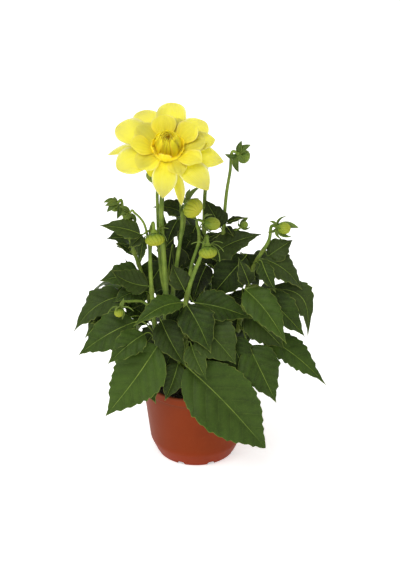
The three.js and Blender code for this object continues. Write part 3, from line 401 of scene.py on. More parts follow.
OUTER_PETALS = (
    Petal(85, 62, 33, 26, -6, 0.12, 0.0), Petal(119, 63, 35, 12, -12, 0.04, 0.05),
    Petal(155, 63, 36, 24, -8, 0.12, 0.1), Petal(179, 67, 13, 0, -24, 0.9, 1.0),
    Petal(207, 61, 36, 20, -14, 0.12, 0.15), Petal(237, 36, 22, 0, -44, 0, 0.4),
    Petal(266, 64, 27, 20, -22, 0.12, 0.75), Petal(288, 66, 12, -8, -72, 0.7, 1.0),
    Petal(311, 68, 31, 18, -22, 0.12, 0.7), Petal(350, 62, 32, 6, -14, 0, 0.9),
    Petal(16, 54, 27, 22, -14, 0.12, 0.5), Petal(46, 59, 34, 10, -12, 0.04, 0.3),
)
INNER_PETALS = (
    Petal(100, 41, 28, 44, 20, 0.16, 0.15), Petal(70, 41, 27, 30, 4, 0.05, 0.15),
    Petal(40, 42, 28, 42, 16, 0.16, 0.3), Petal(10, 43, 25, 28, 2, 0.05, 0.6),
    Petal(325, 47, 25, 38, 6, 0.18, 0.8), Petal(291, 42, 21, 26, -6, 0.15, 0.85),
    Petal(261, 35, 14, 48, 104, 0.6, 0.1), Petal(225, 45, 27, 30, -2, 0.15, 0.2),
    Petal(184, 43, 27, 40, 12, 0.16, 0.3), Petal(143, 43, 28, 30, 4, 0.05, 0.15),
)


# Curves and frames

def unit(vectors: Array) -> Array:
    """Each vector scaled to length one."""
    return vectors / np.linalg.norm(vectors, axis=-1, keepdims=True)


def ease(low: float, high: float, values: Array) -> Array:
    """A smooth step from 0 at low to 1 at high: 3t squared less 2t cubed."""
    share = np.clip((values - low) / (high - low), 0.0, 1.0)
    return share * share * (3.0 - 2.0 * share)


def bezier(points: Sequence[Array], share: Array) -> Array:
    """Points of a Bezier curve, by repeated mixing of neighbouring control points.

    Args:
        points: The control points.
        share: How far along each point lies, from 0 to 1.

    Returns:
        One point for each share.
    """
    step = share[:, None]
    level = [np.broadcast_to(point, (len(share), 3)) for point in points]
    while len(level) > 1:
        level = [a * (1 - step) + b * step for a, b in zip(level[:-1], level[1:])]
    return level[0]


def smooth_route(points: Sequence[Triple], samples: int = 24) -> Array:
    """A smooth line through points: a cubic for each span, whose end slopes come from the roots
    of the distances to its neighbours, so that no span overshoots.

    Args:
        points: The points to pass through.
        samples: How many points each span gets.

    Returns:
        The line's points, at even distances along it.
    """
    given = np.array(points, float)
    ends = np.vstack([2 * given[0] - given[1], given, 2 * given[-1] - given[-2]])
    a, b, c, d = ends[:-3], ends[1:-2], ends[2:-1], ends[3:]
    gaps = np.linalg.norm(np.diff(ends, axis=0), axis=1, keepdims=True) ** 0.5
    gap_a, gap_b, gap_c = gaps[:-2], gaps[1:-1], gaps[2:]
    slope_b = ((b - a) / gap_a - (c - a) / (gap_a + gap_b) + (c - b) / gap_b) * gap_b
    slope_c = ((c - b) / gap_b - (d - b) / (gap_b + gap_c) + (d - c) / gap_c) * gap_b
    t = np.linspace(0, 1, samples, endpoint=False)[None, :, None]
    spans = (b[:, None] * (2 * t ** 3 - 3 * t ** 2 + 1)
             + slope_b[:, None] * (t ** 3 - 2 * t ** 2 + t)
             + c[:, None] * (3 * t ** 2 - 2 * t ** 3) + slope_c[:, None] * (t ** 3 - t ** 2))
    return even(np.vstack([spans.reshape(-1, 3), given[-1]]), len(given) * samples)


def lengths_along(line: Array) -> Array:
    """The distance along a line at each of its points."""
    return np.concatenate([[0.0], np.cumsum(np.linalg.norm(np.diff(line, axis=0), axis=1))])


def point_at(line: Array, share: Amount) -> Array:
    """The points at shares of a line's length, by straight mixing between its own points.

    Args:
        line: The line's points.
        share: One share from 0 to 1, or several.

    Returns:
        One point for each share.
    """
    along = lengths_along(line)
    wanted = np.atleast_1d(share) * along[-1]
    return np.stack([np.interp(wanted, along, line[:, k]) for k in range(3)], axis=-1)


def even(line: Array, count: int) -> Array:
    """The same line with its points at even distances."""
    return point_at(line, np.linspace(0, 1, count))


def frames_along(line: Array) -> tuple[Array, Array, Array]:
    """Directions along and across a line, carried from point to point without twist.

    Args:
        line: The line's points.

    Returns:
        The tangents, and two ways across that stand square to them and to each other.
    """
    tangents = unit(np.gradient(line, axis=0))
    across = np.empty_like(line)
    across[0] = unit(np.cross(tangents[0], (0.31, 0.93, 0.2)))
    for station in range(1, len(line)):
        before, ahead = across[station - 1], tangents[station]
        carried = before - ahead * (before @ ahead)
        across[station] = carried / np.linalg.norm(carried)
    return tangents, across, np.cross(tangents, across)


def ways_across(way: Array) -> tuple[Array, Array]:
    """Two directions across a way, the first of them level.

    Args:
        way: The way, of length one.

    Returns:
        Two directions square to the way and to each other, right-handed about it.
    """
    side = np.cross(UP, way)
    right = unit(side) if np.linalg.norm(side) > 1e-3 else np.array((1.0, 0.0, 0.0))
    return right, np.cross(way, right)


def wander(points: Array, size: float, seed: int) -> Array:
    """An uneven height from about -1 to 1: the mean of seven sine waves of about one size, each
    with a direction and start of its own.

    Args:
        points: Places in space, in millimetres.
        size: The waves' length, in millimetres.
        seed: Which set of waves.

    Returns:
        One height for each place.
    """
    chance = np.random.default_rng(seed)
    waves = unit(chance.normal(size=(7, 3))) * chance.uniform(0.7, 1.5, (7, 1))
    waves = waves * (math.tau / size)
    starts = chance.uniform(0, math.tau, 7)
    return np.sin(points @ waves.T + starts).mean(axis=-1) * 1.6


# Meshes from grids

class Skin:
    """Gathers closed grids into one mesh, with a material and named values for each point."""

    def __init__(self, marks: Sequence[str]) -> None:
        """Start an empty skin.

        Args:
            marks: The names of the values that its points carry.
        """
        self.points: list[Array] = []
        self.quads: list[Array] = []
        self.triangles: list[Array] = []
        self.quad_slots: list[Array] = []
        self.triangle_slots: list[Array] = []
        self.marks: dict[str, list[Array]] = {name: [] for name in marks}
        self.count = 0

    def _store(self, points: Array, marks: dict[str, Amount]) -> int:
        """Keep points and their named values.

        Args:
            points: Places, in millimetres.
            marks: Values for the points; a name that is left out gets 0.

        Returns:
            The first of the new points' numbers.
        """
        first = self.count
        shape = points.shape[:-1]
        self.points.append(points.reshape(-1, 3))
        for name, kept in self.marks.items():
            values = np.asarray(marks.get(name, 0.0), float)
            kept.append(np.broadcast_to(values, shape).reshape(-1))
        self.count += points.size // 3
        return first

    def add_rings(self, rings: Array, slot: int = 0, **marks: Amount) -> None:
        """Add a closed body: rings one after another, each end closed by a fan to its middle.

        Args:
            rings: Stations by points by xyz; each ring turns right-handed about the way ahead.
            slot: The number of its material.
            marks: Values by station and point.
        """
        stations, sides = rings.shape[:2]
        first = self._store(rings, marks)
        index = first + np.arange(stations * sides).reshape(stations, sides)
        onward = np.roll(index, -1, axis=1)
        quads = np.stack([index[:-1], onward[:-1], onward[1:], index[1:]], axis=-1).reshape(-1, 4)
        self.quads.append(quads)
        self.quad_slots.append(np.full(len(quads), int(slot)))
        whole = {name: np.broadcast_to(np.asarray(value, float), (stations, sides))
                 for name, value in marks.items()}
        for end, turn in ((0, -1), (-1, 1)):
            middle = {name: values[end].mean() for name, values in whole.items()}
            hub = self._store(rings[end].mean(axis=0)[None], middle)
            fan = np.stack([index[end], onward[end], np.full(sides, hub)], axis=-1)[:, ::turn]
            self.triangles.append(fan)
            self.triangle_slots.append(np.full(len(fan), int(slot)))

    def make(self, name: str, materials: Sequence[Material]) -> Thing:
        """Turn what was gathered into an object at the origin.

        Args:
            name: The piece's name.
            materials: Its materials, in the order of the slots' numbers.

        Returns:
            The object, linked to the scene.
        """
        mesh = bpy.data.meshes.new(name)
        quads = np.concatenate(self.quads)
        triangles = np.concatenate(self.triangles)
        corners = np.concatenate([quads.ravel(), triangles.ravel()]).astype(np.int32)
        starts = np.concatenate([4 * np.arange(len(quads)),
                                 quads.size + 3 * np.arange(len(triangles))])
        places = (np.concatenate(self.points) * MM).astype(np.float32)
        mesh.vertices.add(self.count)
        mesh.vertices.foreach_set("co", places.ravel())
        mesh.loops.add(len(corners))
        mesh.loops.foreach_set("vertex_index", corners)
        mesh.polygons.add(len(starts))
        mesh.polygons.foreach_set("loop_start", starts.astype(np.int32))
        slots = np.concatenate(self.quad_slots + self.triangle_slots).astype(np.int32)
        for finish in materials:
            mesh.materials.append(finish)
        mesh.polygons.foreach_set("material_index", slots)
        mesh.polygons.foreach_set("use_smooth", np.ones(len(starts), bool))
        for label, kept in self.marks.items():
            layer = mesh.attributes.new(label, "FLOAT", "POINT")
            layer.data.foreach_set("value", np.concatenate(kept).astype(np.float32))
        mesh.update(calc_edges=True)
        mesh.validate()
        piece = bpy.data.objects.new(name, mesh)
        bpy.context.scene.collection.objects.link(piece)
        return piece


def tube_rings(line: Array, radii: Array, sides: int) -> Array:
    """Round rings along a line: at each point, radius x cosine one way across and radius x sine
    the other.

    Args:
        line: The line's points.
        radii: The radius at each of them.
        sides: How many points each ring has.

    Returns:
        Rings of places.
    """
    _, across, beyond = frames_along(line)
    angles = np.linspace(0, math.tau, sides, endpoint=False)[None, :, None]
    circle = np.cos(angles) * across[:, None] + np.sin(angles) * beyond[:, None]
    return line[:, None] + radii[:, None, None] * circle


def axial_rings(foot: Array, way: Array, profile: Array, sides: int) -> Array:
    """Round rings about a straight axis.

    Args:
        foot: Where the axis starts.
        way: The axis's direction, of length one.
        profile: Radius and height of each ring.
        sides: How many points each ring has.

    Returns:
        Rings of places.
    """
    right, up = ways_across(way)
    angles = np.linspace(0, math.tau, sides, endpoint=False)
    circle = np.cos(angles)[:, None] * right + np.sin(angles)[:, None] * up
    return foot + profile[:, 1, None, None] * way + profile[:, 0, None, None] * circle[None]


def blade_ring(columns: int, rim: float = 0.985) -> tuple[Array, Array]:
    """The section of a thin blade as one closed ring, with a point close to each edge, so that only
    a narrow rim is shaded as the edge is.

    Args:
        columns: How many points go from edge to edge on each side.
        rim: Where the points next to the edges lie.

    Returns:
        For each point of the ring, its place across from -1 to 1, and 1 on the upper or -1 on the
        lower side; the two edge points are shared and get 0.
    """
    over = np.concatenate([[-1.0], np.linspace(-rim, rim, columns - 2), [1.0]])
    across = np.concatenate([over, over[-2:0:-1]])
    side = np.concatenate([[0.0], np.ones(columns - 2), [0.0], -np.ones(columns - 2)])
    return across, side


def fullness(across: Array) -> Array:
    """How thick a blade is: 1 less the sixth power of the place across it."""
    return 1 - across ** 6


# Shaders

def linear(colour: Paint) -> Union[tuple[float, ...], Socket]:
    """A colour as a shader takes it.

    Args:
        colour: A colour picker's red, green and blue, 0 to 255, or a socket.

    Returns:
        The linear colour, or the socket as it is.
    """
    if isinstance(colour, Socket):
        return colour
    shares = (channel / 255 for channel in colour)
    return (*(c / 12.92 if c <= 0.04045 else ((c + 0.055) / 1.055) ** 2.4 for c in shares), 1.0)


class Value:
    """A number in a shader, with arithmetic that adds the nodes for it."""

    def __init__(self, shader: Shader, socket: Socket) -> None:
        """Wrap a socket that gives a number."""
        self.shader = shader
        self.socket = socket

    def math(self, operation: str, *values: Number) -> Value:
        """What one Math node makes of these numbers."""
        node = self.shader.node("ShaderNodeMath", {"operation": operation}, dict(enumerate(values)))
        return Value(self.shader, node.outputs[0])

    def __add__(self, other: Number) -> Value:
        """This plus another."""
        return self.math("ADD", self, other)

    __radd__ = __add__

    def __sub__(self, other: Number) -> Value:
        """This less another."""
        return self.math("SUBTRACT", self, other)

    def __rsub__(self, other: Number) -> Value:
        """Another less this."""
        return self.math("SUBTRACT", other, self)

    def __mul__(self, other: Number) -> Value:
        """This times another."""
        return self.math("MULTIPLY", self, other)

    __rmul__ = __mul__

    def __truediv__(self, other: Number) -> Value:
        """This over another."""
        return self.math("DIVIDE", self, other)

    def __abs__(self) -> Value:
        """This without its sign."""
        return self.math("ABSOLUTE", self)

    def most(self, other: Number) -> Value:
        """The larger of this and another."""
        return self.math("MAXIMUM", self, other)

    def step(self, low: float, high: float) -> Value:
        """A smooth rise of this: 3t squared less 2t cubed.

        Args:
            low: Where the result is 0.
            high: Where it is 1; this may be the smaller of the two.

        Returns:
            The result, from 0 to 1.
        """
        ends = {"Value": self, "From Min": low, "From Max": high}
        node = self.shader.node("ShaderNodeMapRange", {"interpolation_type": "SMOOTHSTEP"}, ends)
        return Value(self.shader, node.outputs["Result"])

    def line(self, width: float) -> Value:
        """1 on every whole number of this, falling to 0 at a width from it."""
        part = self.math("FRACT", self)
        return self.math("MINIMUM", part, 1 - part).step(width, 0.0)

    def waves(self, turns: float, start: float = 0.0) -> Value:
        """A sine wave of this, from 0 to 1, that turns by so many radians for each 1 of it."""
        return self.math("SINE", self * turns + start) * 0.5 + 0.5


class Shader:
    """One material and the nodes that are added to it."""

    def __init__(self, name: str) -> None:
        """Start an empty material.

        Args:
            name: Its name.
        """
        self.material = bpy.data.materials.new(name)
        self.material.use_nodes = True
        self.tree = self.material.node_tree
        self.tree.nodes.clear()
        self.places = self.node("ShaderNodeTexCoord").outputs["Object"]

    def node(self, kind: str, settings: dict | None = None,
             inputs: dict | None = None) -> bpy.types.Node:
        """Add a node.

        Args:
            kind: The node's type.
            settings: Its properties, set before its sockets; stops are a ramp's places and colours.
            inputs: Socket names or numbers with what feeds them.

        Returns:
            The node.
        """
        node = self.tree.nodes.new(kind)
        for name, value in (settings or {}).items():
            if name == "stops":
                self._set_stops(node.color_ramp, value)
            else:
                setattr(node, name, value)
        for key, value in (inputs or {}).items():
            if isinstance(value, Value):
                value = value.socket
            if isinstance(value, Socket):
                self.tree.links.new(value, node.inputs[key])
            else:
                node.inputs[key].default_value = value
        return node

    @staticmethod
    def _set_stops(ramp: bpy.types.ColorRamp, stops: Stops) -> None:
        """Give a ramp its stops.

        Args:
            ramp: A new ramp, which has two stops.
            stops: The place and colour of each.
        """
        while len(ramp.elements) < len(stops):
            ramp.elements.new(1.0)
        for element, (place, colour) in zip(ramp.elements, stops):
            element.position = place
            element.color = linear(colour)

    def marks(self, *names: str) -> list[Value]:
        """Values that the mesh carries at its points under these names, in the same order."""
        nodes = [self.node("ShaderNodeAttribute", {"attribute_name": name}) for name in names]
        return [Value(self, node.outputs["Fac"]) for node in nodes]

    def height(self) -> Value:
        """The height over the floor, in metres."""
        return Value(self, self.node("ShaderNodeSeparateXYZ", None, {0: self.places}).outputs["Z"])

    def noise(self, size: float, detail: float = 3.0, rough: float = 0.55,
              warp: float = 0.0) -> Value:
        """Cloudy noise.

        Args:
            size: About how wide its spots are, in millimetres.
            detail: How many finer layers lie on it.
            rough: How strong each finer layer is.
            warp: How far it is pulled about.

        Returns:
            The noise, from 0 to 1.
        """
        inputs = {"Vector": self.places, "Scale": 1 / (size * MM), "Detail": detail,
                  "Roughness": rough, "Distortion": warp}
        return Value(self, self.node("ShaderNodeTexNoise", None, inputs).outputs["Fac"])

    def ramp(self, factor: Value, *stops: tuple[float, Rgb]) -> Socket:
        """The colour that a number picks from a row of stops."""
        return self.node("ShaderNodeValToRGB", {"stops": stops}, {"Fac": factor}).outputs["Color"]

    def mix(self, factor: Number, first: Paint, second: Paint) -> Socket:
        """Mix two colours.

        Args:
            factor: 0 gives the first colour, 1 the second.
            first: A colour or a socket.
            second: A colour or a socket.

        Returns:
            The mixed colour.
        """
        settings = {"data_type": "RGBA", "clamp_factor": True}
        inputs = {0: factor, 6: linear(first), 7: linear(second)}
        return self.node("ShaderNodeMix", settings, inputs).outputs[2]

    def bump(self, height: Value, depth: float, strength: float,
             under: Socket | None = None) -> Socket:
        """Relief.

        Args:
            height: 0 to 1.
            depth: How deep that is, in millimetres.
            strength: How much of it shows.
            under: Relief that this one lies on.

        Returns:
            The normal.
        """
        inputs = {"Height": height, "Distance": depth * MM, "Strength": strength}
        if under is not None:
            inputs["Normal"] = under
        return self.node("ShaderNodeBump", None, inputs).outputs["Normal"]

    def surface(self, colour: Socket, rough: Value, relief: Socket, gloss: float = 0.5,
                glow: Glow | None = None, shine: float = 0.0) -> Material:
        """Finish the material with its surface shader.

        Args:
            colour: Its colour.
            rough: Its roughness.
            relief: Its normal.
            gloss: How strongly it mirrors.
            glow: How light passes into it, or None.
            shine: How much white light it gives off.

        Returns:
            The material.
        """
        inputs = {"Base Color": colour, "Roughness": rough, "Normal": relief,
                  "Specular IOR Level": gloss}
        if shine:
            inputs.update({"Emission Color": WHITE, "Emission Strength": shine})
        if glow is not None:
            inputs.update({"Subsurface Weight": glow.weight, "Subsurface Radius": glow.reach,
                           "Subsurface Scale": glow.depth * MM})
        surface = self.node("ShaderNodeBsdfPrincipled", None, inputs)
        self.node("ShaderNodeOutputMaterial", None, {"Surface": surface.outputs["BSDF"]})
        return self.material


# Finishes

@dataclass(frozen=True)
class Glow:
    """How light passes into a thin soft part: how much of it, how far red, green and blue go
    compared with each other, and the depth, in millimetres.
    """

    weight: float
    reach: Triple
    depth: float


@dataclass(frozen=True)
class LeafFinish:
    """Dull olive leaf with a pale midrib, faint side veins, a thin pale edge and a greyer
    underside, with painted shade that darkens the leaves inside the plant and broad bands along the
    side veins, and a painted sheen that greys some leaves. Sizes are in millimetres, and strengths
    go from 0 to 1.
    """

    name: str = "leaf"
    deep: Rgb = (5, 9, 1)
    fresh: Rgb = (58, 80, 22)
    grey: Rgb = (52, 62, 28)
    vein: Rgb = (100, 122, 46)
    under: Rgb = (78, 92, 48)
    edge: Rgb = (122, 132, 58)
    blotch_size: float = 20
    grain_size: float = 2
    net_size: float = 3.4
    edge_width: float = 1
    edge_strength: float = 0.6
    midrib_strength: float = 0.24
    vein_strength: float = 0.15
    net_strength: float = 0.14
    glow: Glow = Glow(0.04, (0.4, 1.0, 0.2), 1.0)

    def make(self) -> Material:
        """Blend deep and fresh green by noise and by each leaf's tint, which paints shade on the
        leaves inside the plant, darken bands along the side veins as painted shade, grey some
        leaves as painted sheen, then lay on edge, veins and underside.

        The distance from the midrib and from the edge, in millimetres, is half the leaf's width
        there times the place across it.

        Returns:
            The material.
        """
        shader = Shader(self.name)
        over, half, vein, under = shader.marks("over", "half", "vein", "under")
        tint, grey = shader.marks("tint", "grey")
        blotch = shader.noise(self.blotch_size, 4, 0.6)
        grain = shader.noise(self.grain_size, 3, 0.6)
        # Painted shade: tint darkens the leaves inside the plant, and the vein term darkens broad
        # bands along the side veins, which lie in the quilt's grooves.
        amount = 0.85 * tint + 0.85 * blotch + 0.3 * grain - 0.14 * vein.line(0.5) - 0.46
        top = shader.mix(amount, self.deep, self.fresh)
        # Painted sheen: some leaves are greyed, as a soft reflection would grey them.
        top = shader.mix(grey * (0.3 + 0.5 * blotch), top, self.grey)
        place = abs(over)
        fringe = ((1 - place) * half).step(self.edge_width, 0.2 * self.edge_width)
        fringe = fringe * self.edge_strength * shader.noise(9, 2).step(0.3, 0.6)
        top = shader.mix(fringe, top, self.edge)
        veins = vein.line(0.05) * place.step(1.05, 0.3) * shader.noise(7, 2).step(0.25, 0.6)
        net = abs(shader.noise(self.net_size, 2, 0.5, 1.2) - 0.5).step(0.03, 0.0)
        net = net * self.net_strength
        midrib = (place * half / (half * 0.009 + 0.34)).step(1.3, 0.5)
        ribs = (veins * self.vein_strength + net).most(midrib * self.midrib_strength)
        top = shader.mix(ribs, top, self.vein)
        bottom = shader.mix(ribs * 0.8 + 0.12 * grain, self.under, self.vein)
        relief = shader.bump(0.5 * grain + 0.3 * shader.noise(0.9, 2) + 1.4 * net, 0.2, 0.5)
        relief = shader.bump(1 - vein.line(0.12), 0.25, 0.6, relief)
        rough = 0.46 + 0.16 * blotch + 0.12 * under
        return shader.surface(shader.mix(under, top, bottom), rough, relief, 0.12, self.glow)


@dataclass(frozen=True)
class StemFinish:
    """Yellow-green stem, darker in streaks, with fine lengthwise ridges."""

    light: Rgb = (122, 142, 54)
    dark: Rgb = (84, 106, 34)
    blush: Rgb = (112, 96, 48)
    patch_size: float = 14
    ridges: float = 37
    glow: Glow = Glow(0.06, (0.6, 1.0, 0.3), 1.2)

    def make(self) -> Material:
        """Streak light and dark along the stem, with a faint blush at its joints.

        Returns:
            The material.
        """
        shader = Shader("stem")
        ring, joint = shader.marks("over", "vein")
        patch = shader.noise(self.patch_size, 3)
        streak = ring.waves(self.ridges)
        colour = shader.mix(patch.step(0.35, 0.7), self.light, self.dark)
        colour = shader.mix(0.22 * streak, colour, self.dark)
        colour = shader.mix(joint * 0.2, colour, self.blush)
        relief = shader.bump(streak * 0.5 + shader.noise(1.6, 3) * 0.5, 0.25, 0.6)
        return shader.surface(colour, 0.42 + 0.2 * patch, relief, 0.22, self.glow)


@dataclass(frozen=True)
class BudFinish:
    """Bud that is green at its seat and green to yellow on top, with seams between its petals."""

    seat: Rgb = (72, 96, 26)
    green: Rgb = (98, 122, 34)
    side: Rgb = (138, 152, 34)
    crown: Rgb = (180, 176, 40)
    seam: Rgb = (76, 88, 18)
    scale: Rgb = (88, 112, 32)
    scale_edge: Rgb = (140, 152, 62)
    patch_size: float = 6
    seam_strength: float = 0.7
    glow: Glow = Glow(0.12, (1.0, 0.9, 0.3), 1.5)

    def make(self) -> Material:
        """Run from seat to crown, as ripe as the bud is, darken the seams, then lay scales on.

        Returns:
            The material.
        """
        shader = Shader("bud")
        up, rib, over, ripe, outer = shader.marks("along", "rib", "over", "ripe", "outer")
        patch = shader.noise(self.patch_size, 3)
        height = up + 0.16 * patch - 0.08
        unripe = shader.ramp(height, (0.0, self.seat), (0.8, self.green))
        yellow = shader.ramp(height, (0.08, self.green), (0.42, self.side), (0.9, self.crown))
        head = shader.mix(ripe, unripe, yellow)
        head = shader.mix(rib.step(0.5, 0.0) * self.seam_strength, head, self.seam)
        scale = shader.mix(abs(over).step(0.55, 1.0) * 0.7, self.scale, self.scale_edge)
        scale = shader.mix(0.5 * patch, scale, self.seat)
        relief = shader.bump(shader.noise(1.1, 3), 0.2, 0.5)
        colour = shader.mix(outer, head, scale)
        return shader.surface(colour, 0.42 + 0.15 * patch, relief, 0.25, self.glow)


@dataclass(frozen=True)
class PetalFinish:
    """Golden near the bloom's axis and lemon far from it, with faint lengthwise lines. The default
    colours are also lighter near the axis, as painted light against the shade there, and duller at
    the tips, as painted shade where the lamp falls strongest.
    """

    name: str = "petal"
    root: Rgb = (254, 230, 50)
    middle: Rgb = (206, 194, 72)
    tip: Rgb = (160, 153, 88)
    rim: Rgb = (196, 190, 110)
    shade: Rgb = (206, 182, 40)
    pit: Rgb = (110, 70, 14)
    patch_size: float = 12
    fine_lines: float = 46
    broad_lines: float = 17
    glow: Glow = Glow(0.8, (1.0, 0.9, 0.25), 6.0)

    def make(self) -> Material:
        """Run from root to tip, then lay on the lines, the rim and the brown pit.

        Returns:
            The material.
        """
        shader = Shader(self.name)
        along, over, tint, pit = shader.marks("along", "over", "tint", "pit")
        patch = shader.noise(self.patch_size, 3)
        # Painted light and shade: the root colour is lightened where the inner petals lie in shade,
        # and the tip colour is dulled where the lamp falls on the outer petals.
        colour = shader.ramp(along + 0.14 * patch + 0.1 * tint - 0.12,
                             (0.3, self.root), (0.58, self.middle), (0.94, self.tip))
        wobble = over + 0.02 * patch
        fine, broad = wobble.waves(self.fine_lines), wobble.waves(self.broad_lines, 0.8)
        lengthwise = (fine * 0.12 + broad * 0.16) * along.step(1.1, 0.3)
        colour = shader.mix(lengthwise, colour, self.shade)
        rim = abs(over).step(0.85, 1.0) * 0.08 * along.step(0.3, 0.9)
        colour = shader.mix(rim, colour, self.rim)
        colour = shader.mix(pit, colour, self.pit)
        relief = shader.bump(fine * 0.6 + broad * 0.4, 0.12, 0.5)
        relief = shader.bump(shader.noise(0.8, 2), 0.08, 0.4, relief)
        return shader.surface(colour, 0.54 + 0.14 * patch, relief, 0.12, self.glow)


@dataclass(frozen=True)
class PotFinish:
    """Terracotta-coloured plastic: satin, with fine grain, a few scuffs, a darker brown band under
    the collar and on the rim, and a brighter, redder foot that is painted light bounced from the
    floor. Sizes are in millimetres, and heights in metres over the floor.
    """

    body: Rgb = (120, 44, 4)
    foot: Rgb = (132, 42, 2)
    deep: Rgb = (104, 36, 4)
    worn: Rgb = (138, 72, 42)
    band_brown: Rgb = (92, 52, 32)
    cloud_size: float = 34
    grain_size: float = 1.3
    scuff_size: float = 9
    bounce_heights: tuple[float, float] = (0.03, 0.004)
    band_heights: tuple[float, float, float] = (0.083, 0.0895, 0.0905)
    rim_heights: tuple[float, float] = (0.0965, 0.0995)

    def make(self) -> Material:
        """Shift the colour to a brighter, redder foot, as painted light bounced from the floor,
        then lay on cloudy wear, scuffs and grain. A darker brown lies in a band under the collar
        and on the rim.

        Returns:
            The material.
        """
        shader = Shader("pot_plastic")
        height = shader.height()
        cloud = shader.noise(self.cloud_size, 4, 0.6)
        grain = shader.noise(self.grain_size, 4, 0.65)
        scuff = shader.noise(self.scuff_size, 6, 0.75, 2.2).step(0.56, 0.7)
        # Painted light: the foot is brighter and redder, standing in for light bounced from the
        # floor.
        colour = shader.mix(height.step(*self.bounce_heights), self.body, self.foot)
        colour = shader.mix(cloud.step(0.45, 0.8) * 0.4, colour, self.deep)
        colour = shader.mix(scuff * 0.25, colour, self.worn)
        # A darker brown in a band just under the collar, and on the rim.
        low, middle, high = self.band_heights
        colour = shader.mix(height.step(low, middle) * height.step(high, middle) * 0.35,
                            colour, self.band_brown)
        rim = height.step(*self.rim_heights)
        colour = shader.mix(rim * (0.25 + 0.4 * cloud), colour, self.band_brown)
        relief = shader.bump(grain, 0.12, 0.5)
        return shader.surface(colour, 0.42 + 0.14 * cloud + 0.15 * scuff, relief, 0.1)


@dataclass(frozen=True)
class SoilFinish:
    """Damp, crumbly potting soil with pale fibres. Sizes are in millimetres."""

    dark: Rgb = (26, 20, 15)
    brown: Rgb = (62, 47, 34)
    fibre: Rgb = (104, 84, 60)
    lump_size: float = 5
    grain_size: float = 1.1
    fibre_size: float = 3.2

    def make(self) -> Material:
        """Mix dark and brown by two sizes of noise and scatter fibres.

        Returns:
            The material.
        """
        shader = Shader("soil")
        coarse, fine = shader.noise(self.lump_size, 5, 0.7), shader.noise(self.grain_size, 4, 0.7)
        fibre = shader.noise(self.fibre_size, 6, 0.8, 3.0).step(0.66, 0.74)
        colour = shader.mix(0.6 * coarse + 0.7 * fine - 0.2, self.dark, self.brown)
        colour = shader.mix(fibre * 0.5, colour, self.fibre)
        relief = shader.bump(coarse * 0.5 + fine * 0.5, 1.4, 0.9)
        return shader.surface(colour, 0.78 + 0.2 * fine, relief)


@dataclass(frozen=True)
class FloorFinish:
    """Pale matte sweep, faintly lit from below."""

    light: Rgb = (250, 250, 249)
    dim: Rgb = (244, 244, 243)
    shine: float = 0.45

    def make(self) -> Material:
        """A near-white with hardly any clouding and fine paper grain.

        Returns:
            The material.
        """
        shader = Shader("floor")
        colour = shader.mix(shader.noise(180, 2), self.light, self.dim)
        relief = shader.bump(shader.noise(0.8, 2), 0.03, 0.2)
        rough = 0.85 + 0.1 * shader.noise(60)
        return shader.surface(colour, rough, relief, 0.1, shine=self.shine)


# Pieces

def fit_piece(piece: Thing, node: str) -> None:
    """Let a piece stand for its solid and ride on the body, and report it.

    Args:
        piece: The piece.
        node: The solid that it stands for.
    """
    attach(piece, BODY)
    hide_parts(node)
    faces = piece.data.polygons
    sizes = np.zeros(len(faces), np.int32)
    faces.foreach_get("loop_total", sizes)
    LOG.info("%s: %d triangles", piece.name, int((sizes - 2).sum()))


@dataclass(frozen=True)
class Blade:
    """A thin blade's middle line, with its ways across and up at each station."""

    share: Array
    middle: Array
    across: Array
    lift: Array
    length: float

    @classmethod
    def between(cls, base: Array, tip: Array, face: Array, arch: float, count: int,
                sway: float = 0.0) -> Blade:
        """Draw the middle line: a Bezier arc whose bend stands 2 x arch x length over it, swayed to
        one side by sway x length x sin(pi x share).

        Args:
            base: Where the blade starts.
            tip: Where it ends.
            face: The way its upper side looks, roughly.
            arch: How high it arches, as a share of its length.
            count: How many stations it has.
            sway: How far it bends sideways, as a share of its length.

        Returns:
            The blade's line and ways.
        """
        length = float(np.linalg.norm(tip - base))
        along = (tip - base) / length
        up = unit(face - along * (face @ along))
        across = np.cross(along, up)
        share = np.linspace(0, 1, count)
        bend = base + 0.42 * length * along + 2 * arch * length * up
        middle = bezier((base, bend, tip), share)
        middle = middle + sway * length * np.sin(math.pi * share)[:, None] * across
        lift = np.cross(across, unit(np.gradient(middle, axis=0)))
        return cls(share, middle, np.broadcast_to(across, middle.shape), lift, length)

    def rings(self, over: Array, rise: Array) -> Array:
        """Places that lie this far across the middle line and this far above it."""
        return (self.middle[:, None] + self.across[:, None] * over[..., None]
                + self.lift[:, None] * rise[..., None])


class Layer(IntEnum):
    """The materials of a leafy stem, in their order."""

    STEM = 0
    LEAF = 1
    BRACT = 2


